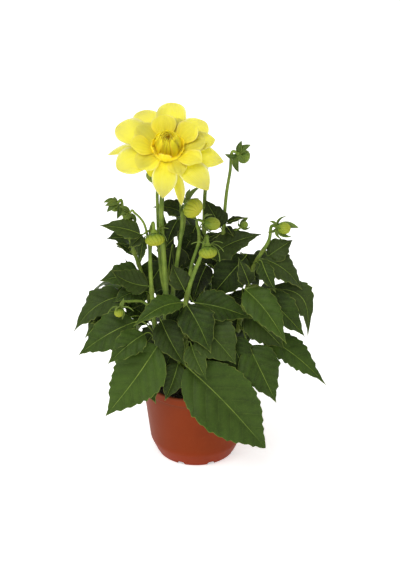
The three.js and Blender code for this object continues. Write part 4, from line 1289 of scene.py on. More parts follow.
@dataclass(frozen=True)
class LeafMaker:
    """Draws toothed leaves with quilted blades on round stalks."""

    thickness: float = 0.6
    columns: int = 21
    station: float = 1.15
    fewest: int = 24
    most: int = 90
    tooth: float = 9.5
    tooth_depth: float = 3.4
    vein_slope: float = 0.8
    stalk_stations: int = 12
    stalk_sides: int = 9

    def add(self, skin: Skin, leaf: Leaf, line: Array, seed: int) -> None:
        """Add a leaf: its blade in the leaf's material and its stalk in the stem's.

        Args:
            skin: Where it goes.
            leaf: Its place and size.
            line: The branch it grows on.
            seed: What varies its shape and colour.
        """
        chance = np.random.default_rng(seed)
        base, tip, face = (np.array(way, float) for way in (leaf.base, leaf.tip, leaf.face))
        count = int(np.clip(np.linalg.norm(tip - base) / self.station, self.fewest, self.most))
        sway = leaf.sway + chance.uniform(-0.035, 0.035)
        blade = Blade.between(base, tip, face, leaf.arch, count, sway)
        self._add_blade(skin, blade, leaf, chance)
        self._add_stalk(skin, blade, leaf, line)

    def _add_blade(self, skin: Skin, blade: Blade, leaf: Leaf, chance: Chance) -> None:
        """Add the blade.

        Its height is the fold, plus quilting between the side veins, less a groove over the midrib,
        plus a ripple that grows towards the margin and a twist that grows towards the tip.

        Args:
            skin: Where it goes.
            blade: Its middle line.
            leaf: Its size and shape.
            chance: What varies its teeth, ripple, twist and colour.
        """
        across, side = blade_ring(self.columns)
        share = blade.share[:, None]
        size = np.abs(across)
        half = self._half_width(leaf, share)
        teeth = self._teeth(blade, half, across, chance)
        over = half * across + np.sign(across) * teeth * ease(0.55, 1.0, size)
        vein = self._side_veins(blade, half, across, chance)
        quilt = np.abs(np.sin(math.pi * vein)) ** 0.7 * ease(0.0, 0.25, size) * (1 - size ** 4)
        waves = chance.uniform(1.6, 3.0) * share + chance.uniform(0, 1) + 0.27 * (across > 0)
        ripple = np.sin(math.tau * waves) * size ** 2.2 * ease(0.0, 0.15, share)
        fold, hollow = chance.uniform(0.12, 0.34), chance.uniform(0.0, 0.16)
        ripple_height, twist = chance.uniform(0.05, 0.13), chance.uniform(-0.22, 0.22)
        groove = 0.6 * np.exp(-(over / 1.5) ** 2) * ease(1.0, 0.8, share)
        rise = (half * size ** 1.15 * (fold - hollow * size ** 2) + (0.3 + 0.04 * half) * quilt
                - groove + ripple_height * half * ripple + twist * over * share)
        rise = rise + 0.5 * self.thickness * side * fullness(across)
        # Painted shade: tint is darker for leaves inside the plant and lighter at its outside and
        # front, plus a random tone; grey is a painted sheen on some leaves.
        skin.add_rings(
            blade.rings(over * math.cos(fold), rise), Layer.LEAF,
            over=across, half=half, vein=vein, under=(side < 0).astype(float),
            tint=self._painted_light_by_place(leaf) + chance.uniform(-0.05, 0.32), grey=chance.uniform() ** 2,
        )

    @staticmethod
    def _half_width(leaf: Leaf, share: Array) -> Array:
        """Half the blade's width: width/2 x sin(pi x share^belly)^full x (1 - 0.18 share^3), drawn
        in near the tip.

        Args:
            leaf: Its size and shape.
            share: How far along, from base to tip.

        Returns:
            The half width at each station, in millimetres.
        """
        half = 0.5 * leaf.width * np.sin(math.pi * share ** leaf.belly) ** leaf.full
        half = half * (1 - 0.18 * share ** 3) * (1 - 0.22 * ease(0.72, 0.95, share))
        return np.maximum(half, 0.3)

    def _teeth(self, blade: Blade, half: Array, across: Array, chance: Chance) -> Array:
        """How far the teeth stand out: a saw that climbs over four fifths of each tooth and drops
        over the last, uneven, and fading towards the base, the tip and where the blade narrows.

        Args:
            blade: The blade's middle line.
            half: Half its width at each station.
            across: The place across it.
            chance: What varies them.

        Returns:
            The distance from the plain margin, in millimetres.
        """
        share = blade.share[:, None]
        count = max(4, round(blade.length / self.tooth))
        start = chance.uniform(0, 1, 3)
        phase = (count * (share ** 0.9 + 0.03 * np.sin(8 * share + 6 * start[0]))
                 + 0.5 * (across > 0) + start[1]) % 1
        saw = np.where(phase < 0.8, phase / 0.8, (1 - phase) / 0.2) - 0.4
        beat = math.tau * (0.37 * count * share + start[2]) + 3 * (across > 0)
        depth = self.tooth_depth * (0.7 + 0.3 * np.sin(beat)) * np.minimum(1, half / 9)
        return depth * ease(1.0, 0.92, share) * ease(0.0, 0.4, share) * saw

    def _side_veins(self, blade: Blade, half: Array, across: Array, chance: Chance) -> Array:
        """A count of the side veins: a whole number on each, as they leave the midrib at a slope
        and bend towards the tip.

        Args:
            blade: The blade's middle line.
            half: Half its width at each station.
            across: The place across it.
            chance: What varies their number.

        Returns:
            The count at each point.
        """
        reach = half * np.abs(across)
        count = chance.uniform(5.4, 7.2)
        along = blade.share[:, None] * blade.length - self.vein_slope * reach - 0.006 * reach ** 2
        return along * count / blade.length + 0.35 * (across > 0)

    @staticmethod
    def _painted_light_by_place(leaf: Leaf) -> float:
        """Painted light and shade: more for leaves whose tips lie at the plant's outside and front,
        and 0 inside it, so that the inner leaves are painted darker.
        """
        outside = 0.005 * math.hypot(*leaf.tip[:2]) - 0.004 * min(0, leaf.tip[1])
        return float(np.clip(outside - 0.2, 0, 0.75))

    def _add_stalk(self, skin: Skin, blade: Blade, leaf: Leaf, line: Array) -> None:
        """Add the stalk, a Bezier curve that swings out of the branch and goes on as a rib under
        the blade, where it thins to nothing.

        Args:
            skin: Where it goes.
            blade: The blade it carries.
            leaf: Where it leaves the branch.
            line: The branch.
        """
        root, ahead = point_at(line, np.array([leaf.at, min(1.0, leaf.at + 0.02)]))
        start = blade.middle[0]
        reach = float(np.linalg.norm(start - root))
        way = unit(ahead - root) if leaf.at < 1 else unit(line[-1] - line[-2])
        knee = 0.7 * root + 0.3 * start + 0.2 * reach * way
        near = start - 0.3 * reach * unit(blade.middle[1] - start)
        stalk = bezier((root, knee, near, start), np.linspace(0, 1, self.stalk_stations))
        thick = float(np.clip(blade.length / 70, 0.8, 1.5))
        under = int(0.93 * len(blade.share))
        rib_radii = thick * np.linspace(0.72, 0.16, under)
        rib = blade.middle[:under] - blade.lift[:under] * (0.6 * rib_radii[:, None] + 0.15)
        path = np.vstack([stalk[:-1], rib[::3]])
        stalk_radii = thick * np.linspace(1.0, 0.74, self.stalk_stations - 1)
        rings = tube_rings(path, np.concatenate([stalk_radii, rib_radii[::3]]), self.stalk_sides)
        joint = np.concatenate([np.linspace(1, 0, 5), np.zeros(len(path) - 5)])[:, None]
        turn = np.linspace(0, 1, self.stalk_sides, endpoint=False)[None]
        skin.add_rings(rings, Layer.STEM, over=turn, vein=joint)


@dataclass(frozen=True)
class LeafyStem:
    """One stem with its branches, leaves, bud seats and bracts, made as one piece."""

    stem: Stem
    seed: int
    bract_seed: int = 7000
    sides: int = 14
    station: float = 1.6
    swelling: float = 0.3
    bract_stations: int = 22
    maker: LeafMaker = LeafMaker()

    def routes(self) -> list[Array]:
        """Each branch's line; under a bud it comes in along the way that the bud faces.

        Returns:
            The lines, in the order of the branches.
        """
        lines = []
        for number, branch in enumerate(self.stem.branches):
            points = [np.array(point, float) for point in branch.route]
            for bud in self.stem.buds:
                if bud.on == number:
                    neck = 0.9 * bud.radius + 1.5
                    points.insert(-1, points[-1] - unit(np.array(bud.facing)) * neck)
            lines.append(smooth_route(points))
        return lines

    def build(self, materials: Sequence[Material]) -> Thing:
        """Make the piece.

        Args:
            materials: The finishes of the stem, the leaves and the bracts.

        Returns:
            The piece.
        """
        skin = Skin(("over", "half", "vein", "under", "tint", "grey"))
        lines = self.routes()
        for number, line in enumerate(lines):
            self._add_branch(skin, number, line)
        leaves = (*self.stem.leaves, *self.stem.inner)
        for number, leaf in enumerate(leaves):
            self.maker.add(skin, leaf, lines[leaf.on], 100 * self.seed + number)
        for number, bud in enumerate(self.stem.buds):
            seed = self.bract_seed + 100 * self.seed + 10 * number
            self._add_seat(skin, bud, lines[bud.on][-1], seed)
        if self.stem.name == "bloom_stem":
            skin.add_rings(Bloom().calyx(), Layer.STEM)
        return skin.make(self.stem.name + "_grown", materials)

    def _add_branch(self, skin: Skin, number: int, line: Array) -> None:
        """Add a branch: a tube that thins evenly and swells by a bell curve where leaves leave it.

        Args:
            skin: Where it goes.
            number: Which branch.
            line: Its line.
        """
        length = lengths_along(line)[-1]
        path = even(line, max(12, int(length / self.station)))
        share = np.linspace(0, 1, len(path))
        low, high = self.stem.branches[number].radii
        joints = np.array([leaf.at for leaf in self.stem.leaves if leaf.on == number] or [-1.0])
        bell = np.exp(-((share[:, None] - joints) * length / 4.0) ** 2).max(axis=1)
        radii = (low + (high - low) * share) * (1 + self.swelling * bell)
        turn = np.linspace(0, 1, self.sides, endpoint=False)[None]
        rings = tube_rings(path, radii, self.sides)
        skin.add_rings(rings, Layer.STEM, over=turn, vein=bell[:, None])

    def _add_seat(self, skin: Skin, bud: Bud, end: Array, seed: int) -> None:
        """Add a bud's cup and the bracts that stand round it.

        Args:
            skin: Where it goes.
            bud: The bud.
            end: The end of its branch.
            seed: What varies the bracts.
        """
        facing = unit(np.array(bud.facing, float))
        radius = bud.radius
        rise = np.linspace(0, 1, 7)
        bowl = 0.22 * radius + 0.6 + (0.24 * radius - 0.6) * rise ** 1.6
        profile = np.stack([bowl, (-0.3 + 0.42 * rise) * radius], axis=-1)
        skin.add_rings(axial_rings(end, facing, profile, 20), Layer.STEM)
        for number, tip in enumerate(bud.bracts):
            chance = np.random.default_rng(seed + number)
            forward = float(np.dot(tip, facing))
            out = np.array(tip, float) - forward * facing
            spread = float(np.linalg.norm(out))
            out = out / spread
            if forward > -2:
                spread = max(spread, 1.15 * radius + 1.5)
            root = end + out * 0.3 * radius - facing * 0.12 * radius
            point = end + out * spread + facing * forward
            face = out - 0.7 * facing + bud.turned * TO_VIEWER
            sway = chance.uniform(-0.06, 0.06)
            blade = Blade.between(root, point, face, 0.16, self.bract_stations, sway)
            self._add_bract(skin, blade, bud.broad, chance)

    def _add_bract(self, skin: Skin, blade: Blade, broad: float, chance: Chance) -> None:
        """Add a bract: half its width is a share of its length x sin(pi x (0.12 + 0.88 share)^0.9),
        made fuller by a power below one; it is hollowed along its middle.

        Args:
            skin: Where it goes.
            blade: Its middle line.
            broad: 0 for a narrow pale bract to 1 for a broad dark one.
            chance: What varies its colour.
        """
        across, side = blade_ring(9)
        share = blade.share[:, None]
        wide = float(np.clip((0.12 + 0.13 * broad) * blade.length, 1.5, 4.2))
        half = np.maximum(wide * np.sin(math.pi * (0.12 + 0.88 * share) ** 0.9) ** 0.75, 0.25)
        rise = 0.3 * half * across ** 2 + 0.35 * side * fullness(across) - 0.2
        skin.add_rings(
            blade.rings(half * across, rise), Layer.BRACT, over=across, half=half, vein=0.5,
            under=(side < 0) * 0.6, tint=1.1 - 0.95 * broad + chance.uniform(-0.15, 0.15),
        )


@dataclass(frozen=True)
class BudHead:
    """A closed bud: petals wrapped into a ribbed globe, with small scales that hug its foot."""

    bud: Bud
    end: Array
    seed: int
    ribs: int = 13
    twist: float = 0.32
    rib_depth: float = 0.1
    scales: int = 7
    thickness: float = 0.5
    rows: int = 40
    pole: float = 0.02

    def build(self, finish: Material) -> Thing:
        """Make the bud.

        Args:
            finish: Its material.

        Returns:
            The piece.
        """
        skin = Skin(("along", "over", "rib", "outer", "ripe"))
        polar = np.linspace(self.pole, math.pi - self.pole, self.rows)[:, None]
        turn = np.linspace(0, math.tau, 12 * self.ribs, endpoint=False)[None]
        wave = self._rib(polar, turn)
        reach = 1 + self.rib_depth * (wave - 0.6) * np.sin(polar) ** 0.6
        rings = self._on_globe(polar, turn, reach)
        skin.add_rings(rings, along=polar / math.pi, rib=wave, ripe=self.bud.ripe)
        for number in range(self.scales):
            self._add_scale(skin, number)
        return skin.make(self.bud.name + "_head", [finish])

    def _rib(self, polar: Array, turn: Array) -> Array:
        """0 in a seam and 1 on a rib: the size of sin(ribs/2 x (turn + twist x polar)), rounded."""
        return np.abs(np.sin(0.5 * self.ribs * (turn + self.twist * polar))) ** 0.6

    def _on_globe(self, polar: Array, turn: Array, reach: Array) -> Array:
        """Places on the globe: radius x sin(polar) out from its axis, depth x cos(polar) down it,
        with the top a little flatter.

        Args:
            polar: The angle from the seat, in radians.
            turn: The angle about the axis.
            reach: 1 on the globe, more outside it.

        Returns:
            The places, in millimetres.
        """
        facing = unit(np.array(self.bud.facing, float))
        right, up = ways_across(facing)
        seat = self.end + facing * (0.12 * self.bud.radius + 0.35)
        centre = seat + facing * self.bud.depth
        out = np.cos(turn)[..., None] * right + np.sin(turn)[..., None] * up
        drop = np.where(polar > math.pi / 2, 0.94, 1.0) * np.cos(polar) * self.bud.depth * reach
        wide = self.bud.radius * np.sin(polar) * reach
        return centre - drop[..., None] * facing + wide[..., None] * out

    def _add_scale(self, skin: Skin, number: int) -> None:
        """Add a pointed scale; its half width in turn is that of an oval cut off at its foot.

        Args:
            skin: Where it goes.
            number: Which scale.
        """
        chance = np.random.default_rng(self.seed + number)
        across, side = blade_ring(9)
        share = np.linspace(0, 1, 20)[:, None]
        middle = math.tau * (number + chance.uniform(-0.12, 0.12)) / self.scales
        low, high = 0.18, chance.uniform(1.15, 1.5)
        polar = low + (high - low) * share
        oval = np.sin(math.pi * (0.2 + 0.8 * share) ** 0.9) ** 0.8
        half = 0.42 * oval / np.maximum(np.sin(polar), 0.35)
        turn = middle + np.maximum(half, 0.015) * across
        lift = (1.015 + 0.035 * share ** 3 + 0.03 * (1 - across ** 2)
                + 0.5 * self.thickness * side * fullness(across) / self.bud.radius)
        rings = self._on_globe(polar + 0 * across, turn, lift)
        skin.add_rings(rings[:, ::-1], along=share, over=across[::-1], rib=1.0, outer=1.0)


@dataclass(frozen=True)
class Bloom:
    """The open bloom: rays in two rows, a row of small upright petals, and a disc under them."""

    centre: Triple = (-30, -25, 391)
    axis: Triple = (0.03, -0.5, 0.866)
    reach: float = 66
    outer_start: float = 13
    outer_height: float = -5
    inner_start: float = 16.4
    inner_height: float = -2.4
    heart_count: int = 7
    heart_start: float = 15.2
    heart_length: float = 9
    heart_vary: float = 4
    heart_turn: float = -15
    heart_arc: float = 210
    disc_radius: float = 17
    thickness: float = 0.5
    stations: int = 40
    columns: int = 21
    outer_seed: int = 300
    inner_seed: int = 400
    heart_seed: int = 500

    def ways(self) -> tuple[Array, Array, Array]:
        """The bloom's own frame.

        Returns:
            The axis, and the bloom's right and upper ways across it.
        """
        axis = unit(np.array(self.axis, float))
        right = unit(np.array((1.0, 0.0, 0.0)) - axis[0] * axis)
        return axis, right, np.cross(axis, right)

    def build(self, finish: Material) -> Thing:
        """Make the petals and the disc.

        Args:
            finish: The petals' material.

        Returns:
            The piece.
        """
        skin = Skin(("along", "over", "tint"))
        rows = (
            (OUTER_PETALS, self.outer_start, self.outer_height, self.outer_seed),
            (INNER_PETALS, self.inner_start, self.inner_height, self.inner_seed),
            (self._heart_petals(), self.heart_start, self.inner_height, self.heart_seed),
        )
        for petals, start, height, seed in rows:
            for number, petal in enumerate(petals):
                self._add_petal(skin, petal, start, height, seed + number)
        skin.add_rings(self._disc(), along=0.05)
        return skin.make("bloom_petals", [finish])

    def _heart_petals(self) -> list[Petal]:
        """The small upright petals, evenly spread over an arc behind the heart, whose lengths vary
        by the golden ratio's share of their number.

        Returns:
            The petals.
        """
        petals = []
        for number in range(self.heart_count):
            turn = self.heart_arc * number / (self.heart_count - 1) + self.heart_turn
            length = self.heart_start + self.heart_length + self.heart_vary * (number * 0.618 % 1)
            petals.append(Petal(turn, length, width=13, rise=56, close=96, cup=0.3, point=0.5))
        return petals

    def _disc(self) -> Array:
        """The disc that the petals grow on: a low drum with rounded edges.

        Returns:
            Its rings.
        """
        radius = self.disc_radius
        return self._round_rings(48, (radius * 0.7, -7), (radius - 0.6, -6.6), (radius, -5.5),
                                 (radius, -2.4), (radius - 0.7, -1.4), (radius - 2.0, -1.0))

    def _round_rings(self, sides: int, *profile: tuple[float, float]) -> Array:
        """Round rings about the bloom's axis, from pairs of radius and height."""
        centre = np.array(self.centre, float)
        return axial_rings(centre, self.ways()[0], np.array(profile, float), sides)

    def calyx(self) -> Array:
        """The green cup between stem and disc: its radius grows evenly, then rounds over."""
        return self._round_rings(24, (3, -17), (3.6, -16), (5.2, -12.5), (7.4, -9.6),
                                 (8.8, -8.2), (9, -7.4))

    def _half_width(self, petal: Petal, station: Array) -> Array:
        """Half a petal's width: it widens by a quarter wave from a claw, stays broad and closes at
        the tip as an ellipse does where it is round, or nearly straight where it is pointed.

        Args:
            petal: Its width and point.
            station: How far along, from root to tip.

        Returns:
            The half width at each station, in millimetres.
        """
        fill = 0.4 + 0.6 * np.sin(0.5 * math.pi * np.minimum(1, station / 0.6)) ** 1.2
        end = np.clip((station - 0.52) / 0.48, 0, 1)
        closing = (1 - end ** (2.6 - 0.5 * petal.point)) ** (0.5 + 0.45 * petal.point)
        return np.maximum(0.5 * petal.width * fill * closing, 0.15)

    def _add_petal(self, skin: Skin, petal: Petal, start: float, height: float, seed: int) -> None:
        """Add a petal.

        Its slope runs evenly from rise to close, so its middle line is an arc of a circle. Across,
        it is cupped by the square of the place, with two long furrows, fine ridges, a wave and a
        twist that grow to the tip, and its edges lag a little behind its middle.

        Args:
            skin: Where it goes.
            petal: Its turn, size and slopes.
            start: How far from the axis it starts.
            height: How far above the bloom's centre it starts.
            seed: What varies its waves and colour.
        """
        chance = np.random.default_rng(seed)
        axis, right, up = self.ways()
        turn = math.radians(petal.turn)
        out = right * math.cos(turn) + up * math.sin(turn)
        across, side = blade_ring(self.columns)
        station = 1 - (1 - np.linspace(0, 1, self.stations)[:, None]) ** 1.35
        half = self._half_width(petal, station)
        broad = half / (0.5 * petal.width)
        lag = (0.015 + 0.07 * petal.point) * across ** 2 * station ** 3 * broad
        rise, close = math.radians(petal.rise), math.radians(petal.close)
        length = petal.length - start
        slope = rise + (close - rise) * (station * (1 - lag))
        radial = start + length * (np.sin(slope) - math.sin(rise)) / (close - rise)
        climb = height + length * (math.cos(rise) - np.cos(slope)) / (close - rise)
        furrow = sum(np.exp(-((across - place) / 0.13) ** 2) for place in (-0.36, 0.36))
        waves = chance.uniform(1.1, 1.9) * station + chance.uniform(0, 1)
        wave = np.sin(math.tau * waves + 2.2 * across)
        lift = (petal.cup * half * across ** 2 - 0.5 * furrow * broad
                + 0.1 * np.cos(across * 19) * broad + 0.08 * half * wave * across ** 2 * station)
        lift = lift + 0.5 * self.thickness * side * fullness(across) * np.minimum(1, half / 2.5)
        lift = lift + chance.uniform(-0.05, 0.05) * half * across * station
        flat = ((radial - lift * np.sin(slope))[..., None] * out
                + (climb + lift * np.cos(slope))[..., None] * axis)
        wide = (half * across)[..., None] * np.cross(out, axis)
        rings = np.array(self.centre, float) + flat + wide
        skin.add_rings(rings, along=radial / self.reach, over=across, tint=chance.uniform())


@dataclass(frozen=True)
class FloretRing:
    """A ring of florets: how many, how far out, the angles from the top at which they start and
    end, how much wider they are than their share of the ring, how far one edge stands over the
    next, how well they keep their width upwards, and how far the ring stays open at the front.
    """

    count: int
    reach: float
    low: float
    high: float
    fill: float
    lean: float = 0.01
    keep: float = 0.0
    gap: float = 0.0


@dataclass(frozen=True)
class BloomCentre:
    """The bloom's heart: rings of small quilled petals that lean in over a low core."""

    bloom: Bloom
    radius: float = 12.6
    height: float = 19.5
    foot: float = 0.6
    core: float = 0.9
    brim: float = 97
    brown_above: float = 20
    seed: int = 600
    rings: tuple[FloretRing, ...] = (
        FloretRing(9, 1.16, 97, 34, 1.5, 0.04, 0.5, 78),
        FloretRing(11, 1.09, 96, 25, 1.4, 0.03, 0.4, 40),
        FloretRing(17, 1.0, 96, 14, 1.4, 0.02),
        FloretRing(9, 0.95, 36, 9, 1.15),
    )

    def build(self, finish: Material) -> Thing:
        """Make the heart: the core, dented at its top by a bell curve, and the rings of florets.

        Args:
            finish: Its material.

        Returns:
            The piece.
        """
        skin = Skin(("along", "over", "tint", "pit"))
        polar = np.linspace(0.03, math.radians(self.brim), 22)[::-1, None]
        turn = np.linspace(0, math.tau, 48, endpoint=False)[None]
        pit = np.exp(-(polar / 0.3) ** 2) + 0 * turn
        reach = self.core * (1 - 0.25 * pit) + 0.02 * np.sin(9 * turn) * np.sin(polar)
        skin.add_rings(self._on_dome(turn, polar, reach), along=0.0, pit=pit)
        for row, ring in enumerate(self.rings):
            for number in range(ring.count):
                angle = math.tau * (number + 0.5 * (row % 2)) / ring.count
                if math.sin(angle) > -math.cos(math.radians(ring.gap)):
                    self._add_floret(skin, ring, angle, self.seed + 20 * row + number)
        return skin.make("bloom_heart", [finish])

    def _on_dome(self, turn: Array, polar: Array, reach: Array) -> Array:
        """Places on the dome: radius x sin(polar) out, height x cos(polar) up, both times reach.

        Args:
            turn: The angle about the axis.
            polar: The angle from the top.
            reach: 1 on the dome, less inside it.

        Returns:
            The places, in millimetres.
        """
        axis, right, up = self.bloom.ways()
        foot = np.array(self.bloom.centre, float) + self.foot * axis
        wide = (self.radius * reach * np.sin(polar))[..., None]
        out = np.cos(turn)[..., None] * right + np.sin(turn)[..., None] * up
        return foot + wide * out + (self.height * reach * np.cos(polar))[..., None] * axis

    def _add_floret(self, skin: Skin, ring: FloretRing, turn: float, seed: int) -> None:
        """Add a floret: a narrow blade that follows the dome and rolls down at both edges. It
        widens by a quarter wave and closes at its tip as an ellipse does.

        Args:
            skin: Where it goes.
            ring: The ring that it belongs to.
            turn: Its place about the axis.
            seed: What varies its length and colour.
        """
        chance = np.random.default_rng(seed)
        across, side = blade_ring(11)
        share = np.linspace(0, 1, 18)[:, None]
        low = math.radians(ring.low + chance.uniform(-3, 3))
        high = math.radians(ring.high + chance.uniform(-3, 3))
        polar = low + (high - low) * share
        widening = 0.7 + 0.3 * np.sin(math.pi * np.minimum(1, share / 0.7) / 2)
        closing = (1 - np.clip((share - 0.66) / 0.34, 0, 1) ** 2.4) ** 0.6
        upward = (math.sin(low) / np.maximum(np.sin(polar), 0.3)) ** ring.keep
        half = ring.fill * math.pi / ring.count * widening * closing * upward
        angle = turn + chance.uniform(-0.06, 0.06) + np.maximum(half, 0.02) * across
        stand = ring.reach * (0.94 + 0.06 * np.minimum(1, 3 * share)) - 0.03 * across ** 2
        stand = stand + ring.lean * across + 0.02 * np.exp(-(across / 0.3) ** 2)
        stand = stand + 0.018 * side * fullness(across)
        rings = self._on_dome(angle, polar + 0.1 * across ** 2 * share ** 3, stand)
        brown = 0.6 * ease(0.8, 1.0, share) * (ring.high < self.brown_above)
        skin.add_rings(rings, along=share, over=across, tint=chance.uniform(), pit=brown)


def round_corners(points: Sequence[tuple[float, float]], cuts: Sequence[float],
                  steps: int = 6) -> Array:
    """Round a profile's corners: each is replaced by a Bezier arc that starts a cut before it and
    ends a cut after it.

    Args:
        points: Radius and height of each corner.
        cuts: How far from the corner the arc starts, for each corner.
        steps: How many points an arc has.

    Returns:
        The rounded profile.
    """
    corners = [np.array((*point, 0.0), float) for point in points]
    parts = [corners[0][None]]
    for before, corner, after, cut in zip(corners[:-2], corners[1:-1], corners[2:], cuts[1:-1]):
        ends = [corner + unit(other - corner) * min(cut, 0.45 * np.linalg.norm(other - corner))
                for other in (before, after)]
        parts.append(bezier((ends[0], corner, ends[1]), np.linspace(0, 1, steps)))
    return np.vstack([*parts, corners[-1][None]])[:, :2]


@dataclass(frozen=True)
class Pot:
    """The nursery pot: tapered wall, collar under the rim, and drain slots through its foot."""

    rim: float = 65
    height: float = 100
    foot: float = 46.5
    shoulder: float = 54
    shoulder_height: float = 18
    wall: float = 1.6
    floor: float = 2
    collar: float = 11
    step: float = 1.2
    axle: float = 0.4
    slots: int = 8
    slot_width: float = 9
    slot_height: float = 4
    slot_corner: float = 1.2
    slot_crown: float = 1.6
    sides: int = 144
    crease: float = 32

    def wall_at(self, height: float) -> float:
        """The wall's outer radius, which grows evenly from the shoulder to the collar."""
        rise = (height - self.shoulder_height) / (self.height - self.shoulder_height)
        return self.shoulder + (self.rim - self.step - self.shoulder) * rise

    def profile(self) -> Array:
        """The section, from the middle of the underside round over the rim to the inner floor.

        Returns:
            Radius and height of its points.
        """
        low = self.height - self.collar
        under = self.wall_at(low)
        corners, cuts = zip(
            ((self.axle, 0), 0), ((self.foot - 1, 0), 0.5), ((self.foot, 1), 0.5),
            ((self.shoulder, self.shoulder_height), 3), ((under, low), 0.5),
            ((under + self.step, low + 0.6), 0.5), ((self.rim, self.height - 1), 0.7),
            ((self.rim - 0.8, self.height), 0.5), ((self.rim - 2.8, self.height), 0.6),
            ((self.shoulder - self.wall, self.shoulder_height), 3),
            ((self.foot - 1.2, self.floor), 0.8), ((self.axle, self.floor), 0),
        )
        return round_corners(corners, cuts)

    def build(self, finish: Material) -> Thing:
        """Turn the profile round the axis and cut the slots.

        Args:
            finish: The pot's material.

        Returns:
            The piece.
        """
        skin = Skin(())
        skin.add_rings(axial_rings(np.zeros(3), UP, self.profile(), self.sides))
        pot = skin.make("nursery_pot", [finish])
        cutter = self._slot_cutter()
        cut = pot.modifiers.new("slots", "BOOLEAN")
        cut.object = cutter
        cut.solver = "EXACT"
        finished = pot.evaluated_get(bpy.context.evaluated_depsgraph_get())
        mesh = bpy.data.meshes.new_from_object(finished)
        pot.modifiers.clear()
        pot.data = mesh
        bpy.data.objects.remove(cutter)
        mesh.polygons.foreach_set("use_smooth", np.ones(len(mesh.polygons), bool))
        mesh.set_sharp_from_angle(angle=math.radians(self.crease))
        return pot

    def _slot_cutter(self) -> Thing:
        """Bars with round-topped sections that lie along the foot's radii.

        Returns:
            All the bars as one object.
        """
        skin = Skin(())
        half, corner, crown = 0.5 * self.slot_width, self.slot_corner, self.slot_crown
        arc = np.radians(np.linspace(0, 180, 9))
        over = (half - corner) * np.cos(arc) + corner * np.sign(np.cos(arc))
        rise = self.slot_height - crown + crown * np.sin(arc)
        outline = np.vstack([[(-half, -1), (half, -1)], np.stack([over, rise], axis=-1)])
        for number in range(self.slots):
            turn = math.tau * (number + 0.5) / self.slots
            out = np.array((math.cos(turn), math.sin(turn), 0.0))
            across = np.array((-math.sin(turn), math.cos(turn), 0.0))
            ring = outline[:, :1] * across + outline[:, 1:] * UP
            ends = (self.foot - 8, self.foot + 6)
            skin.add_rings(np.stack([ring + out * reach for reach in ends]))
        return skin.make("slot_cutter", [])


@dataclass(frozen=True)
class Soil:
    """Soil that fills the pot, mounded towards its middle, with crumbs on top. Lumps are the
    height, size and seed of each layer of unevenness.
    """

    pot: Pot
    top: float = 86
    mound: float = 3
    gap: float = 0.35
    side_gap: float = 0.7
    lumps: tuple[tuple[float, float, int], ...] = ((1.3, 14, 5), (0.9, 5, 6), (0.5, 2.2, 7))
    crumbs: int = 420
    crumb_size: float = 0.7
    crumb_range: float = 2.0
    seed: int = 61

    def build(self, finish: Material) -> Thing:
        """Make the soil: a filled pot shape whose top is uneven by noise, and loose crumbs.

        Args:
            finish: The soil's material.

        Returns:
            The piece.
        """
        skin = Skin(())
        pot, floor = self.pot, self.pot.floor + self.gap
        edge = pot.wall_at(self.top) - pot.wall - self.side_gap
        shoulder = pot.shoulder - pot.wall - self.side_gap
        low = np.array([(pot.axle, floor), (pot.foot - 2, floor),
                        (shoulder, pot.shoulder_height), (edge, self.top - 1.5)], float)
        inward = np.linspace(0, 1, 60)[:, None]
        top = np.hstack([edge * (1 - inward) + pot.axle * inward,
                         self.top + self.mound * np.sin(0.5 * math.pi * inward)])
        rings = axial_rings(np.zeros(3), UP, np.vstack([low, top]), 160)
        ground = rings[len(low):]
        rough = sum(height * wander(ground, size, seed) for height, size, seed in self.lumps)
        reach = np.linalg.norm(ground[..., :2], axis=-1) / edge
        ground[..., 2] += rough * ease(1.0, 0.93, reach)
        skin.add_rings(rings)
        self._add_crumbs(skin, edge)
        return skin.make("potting_soil", [finish])

    def _add_crumbs(self, skin: Skin, edge: float) -> None:
        """Scatter crumbs: small uneven globes, more of them small than large.

        Args:
            skin: Where they go.
            edge: How far from the axis the soil reaches.
        """
        chance = np.random.default_rng(self.seed)
        polar = np.linspace(0.3, math.pi - 0.3, 5)
        for _ in range(self.crumbs):
            reach = (edge - 3) * math.sqrt(chance.uniform())
            turn = chance.uniform(0, math.tau)
            size = self.crumb_size + self.crumb_range * chance.uniform() ** 3
            height = self.top + self.mound * math.cos(0.5 * math.pi * reach / edge) + 0.3 * size
            foot = np.array((reach * math.cos(turn), reach * math.sin(turn), height))
            squash = chance.uniform(0.6, 0.9)
            profile = size * np.stack([np.sin(polar), -np.cos(polar) * squash], axis=-1)
            way = unit(UP + 0.6 * chance.normal(size=3))
            rings = axial_rings(foot, way, profile, 7)
            skin.add_rings(rings + 0.22 * size * chance.normal(size=rings.shape))


def aim(thing: Thing, right: Array, up: Array, back: Array, where: Array) -> None:
    """Link a lamp or camera to the scene, in its place and turned the way it looks.

    Args:
        thing: The lamp or camera.
        right: The way its right side faces.
        up: The way its top faces.
        back: The way opposite to the one it looks.
        where: Its place, in metres.
    """
    turn = np.eye(4)
    turn[:3] = np.stack([right, up, back, where], axis=-1)
    thing.matrix_world = Matrix(turn.tolist())
    bpy.context.scene.collection.objects.link(thing)


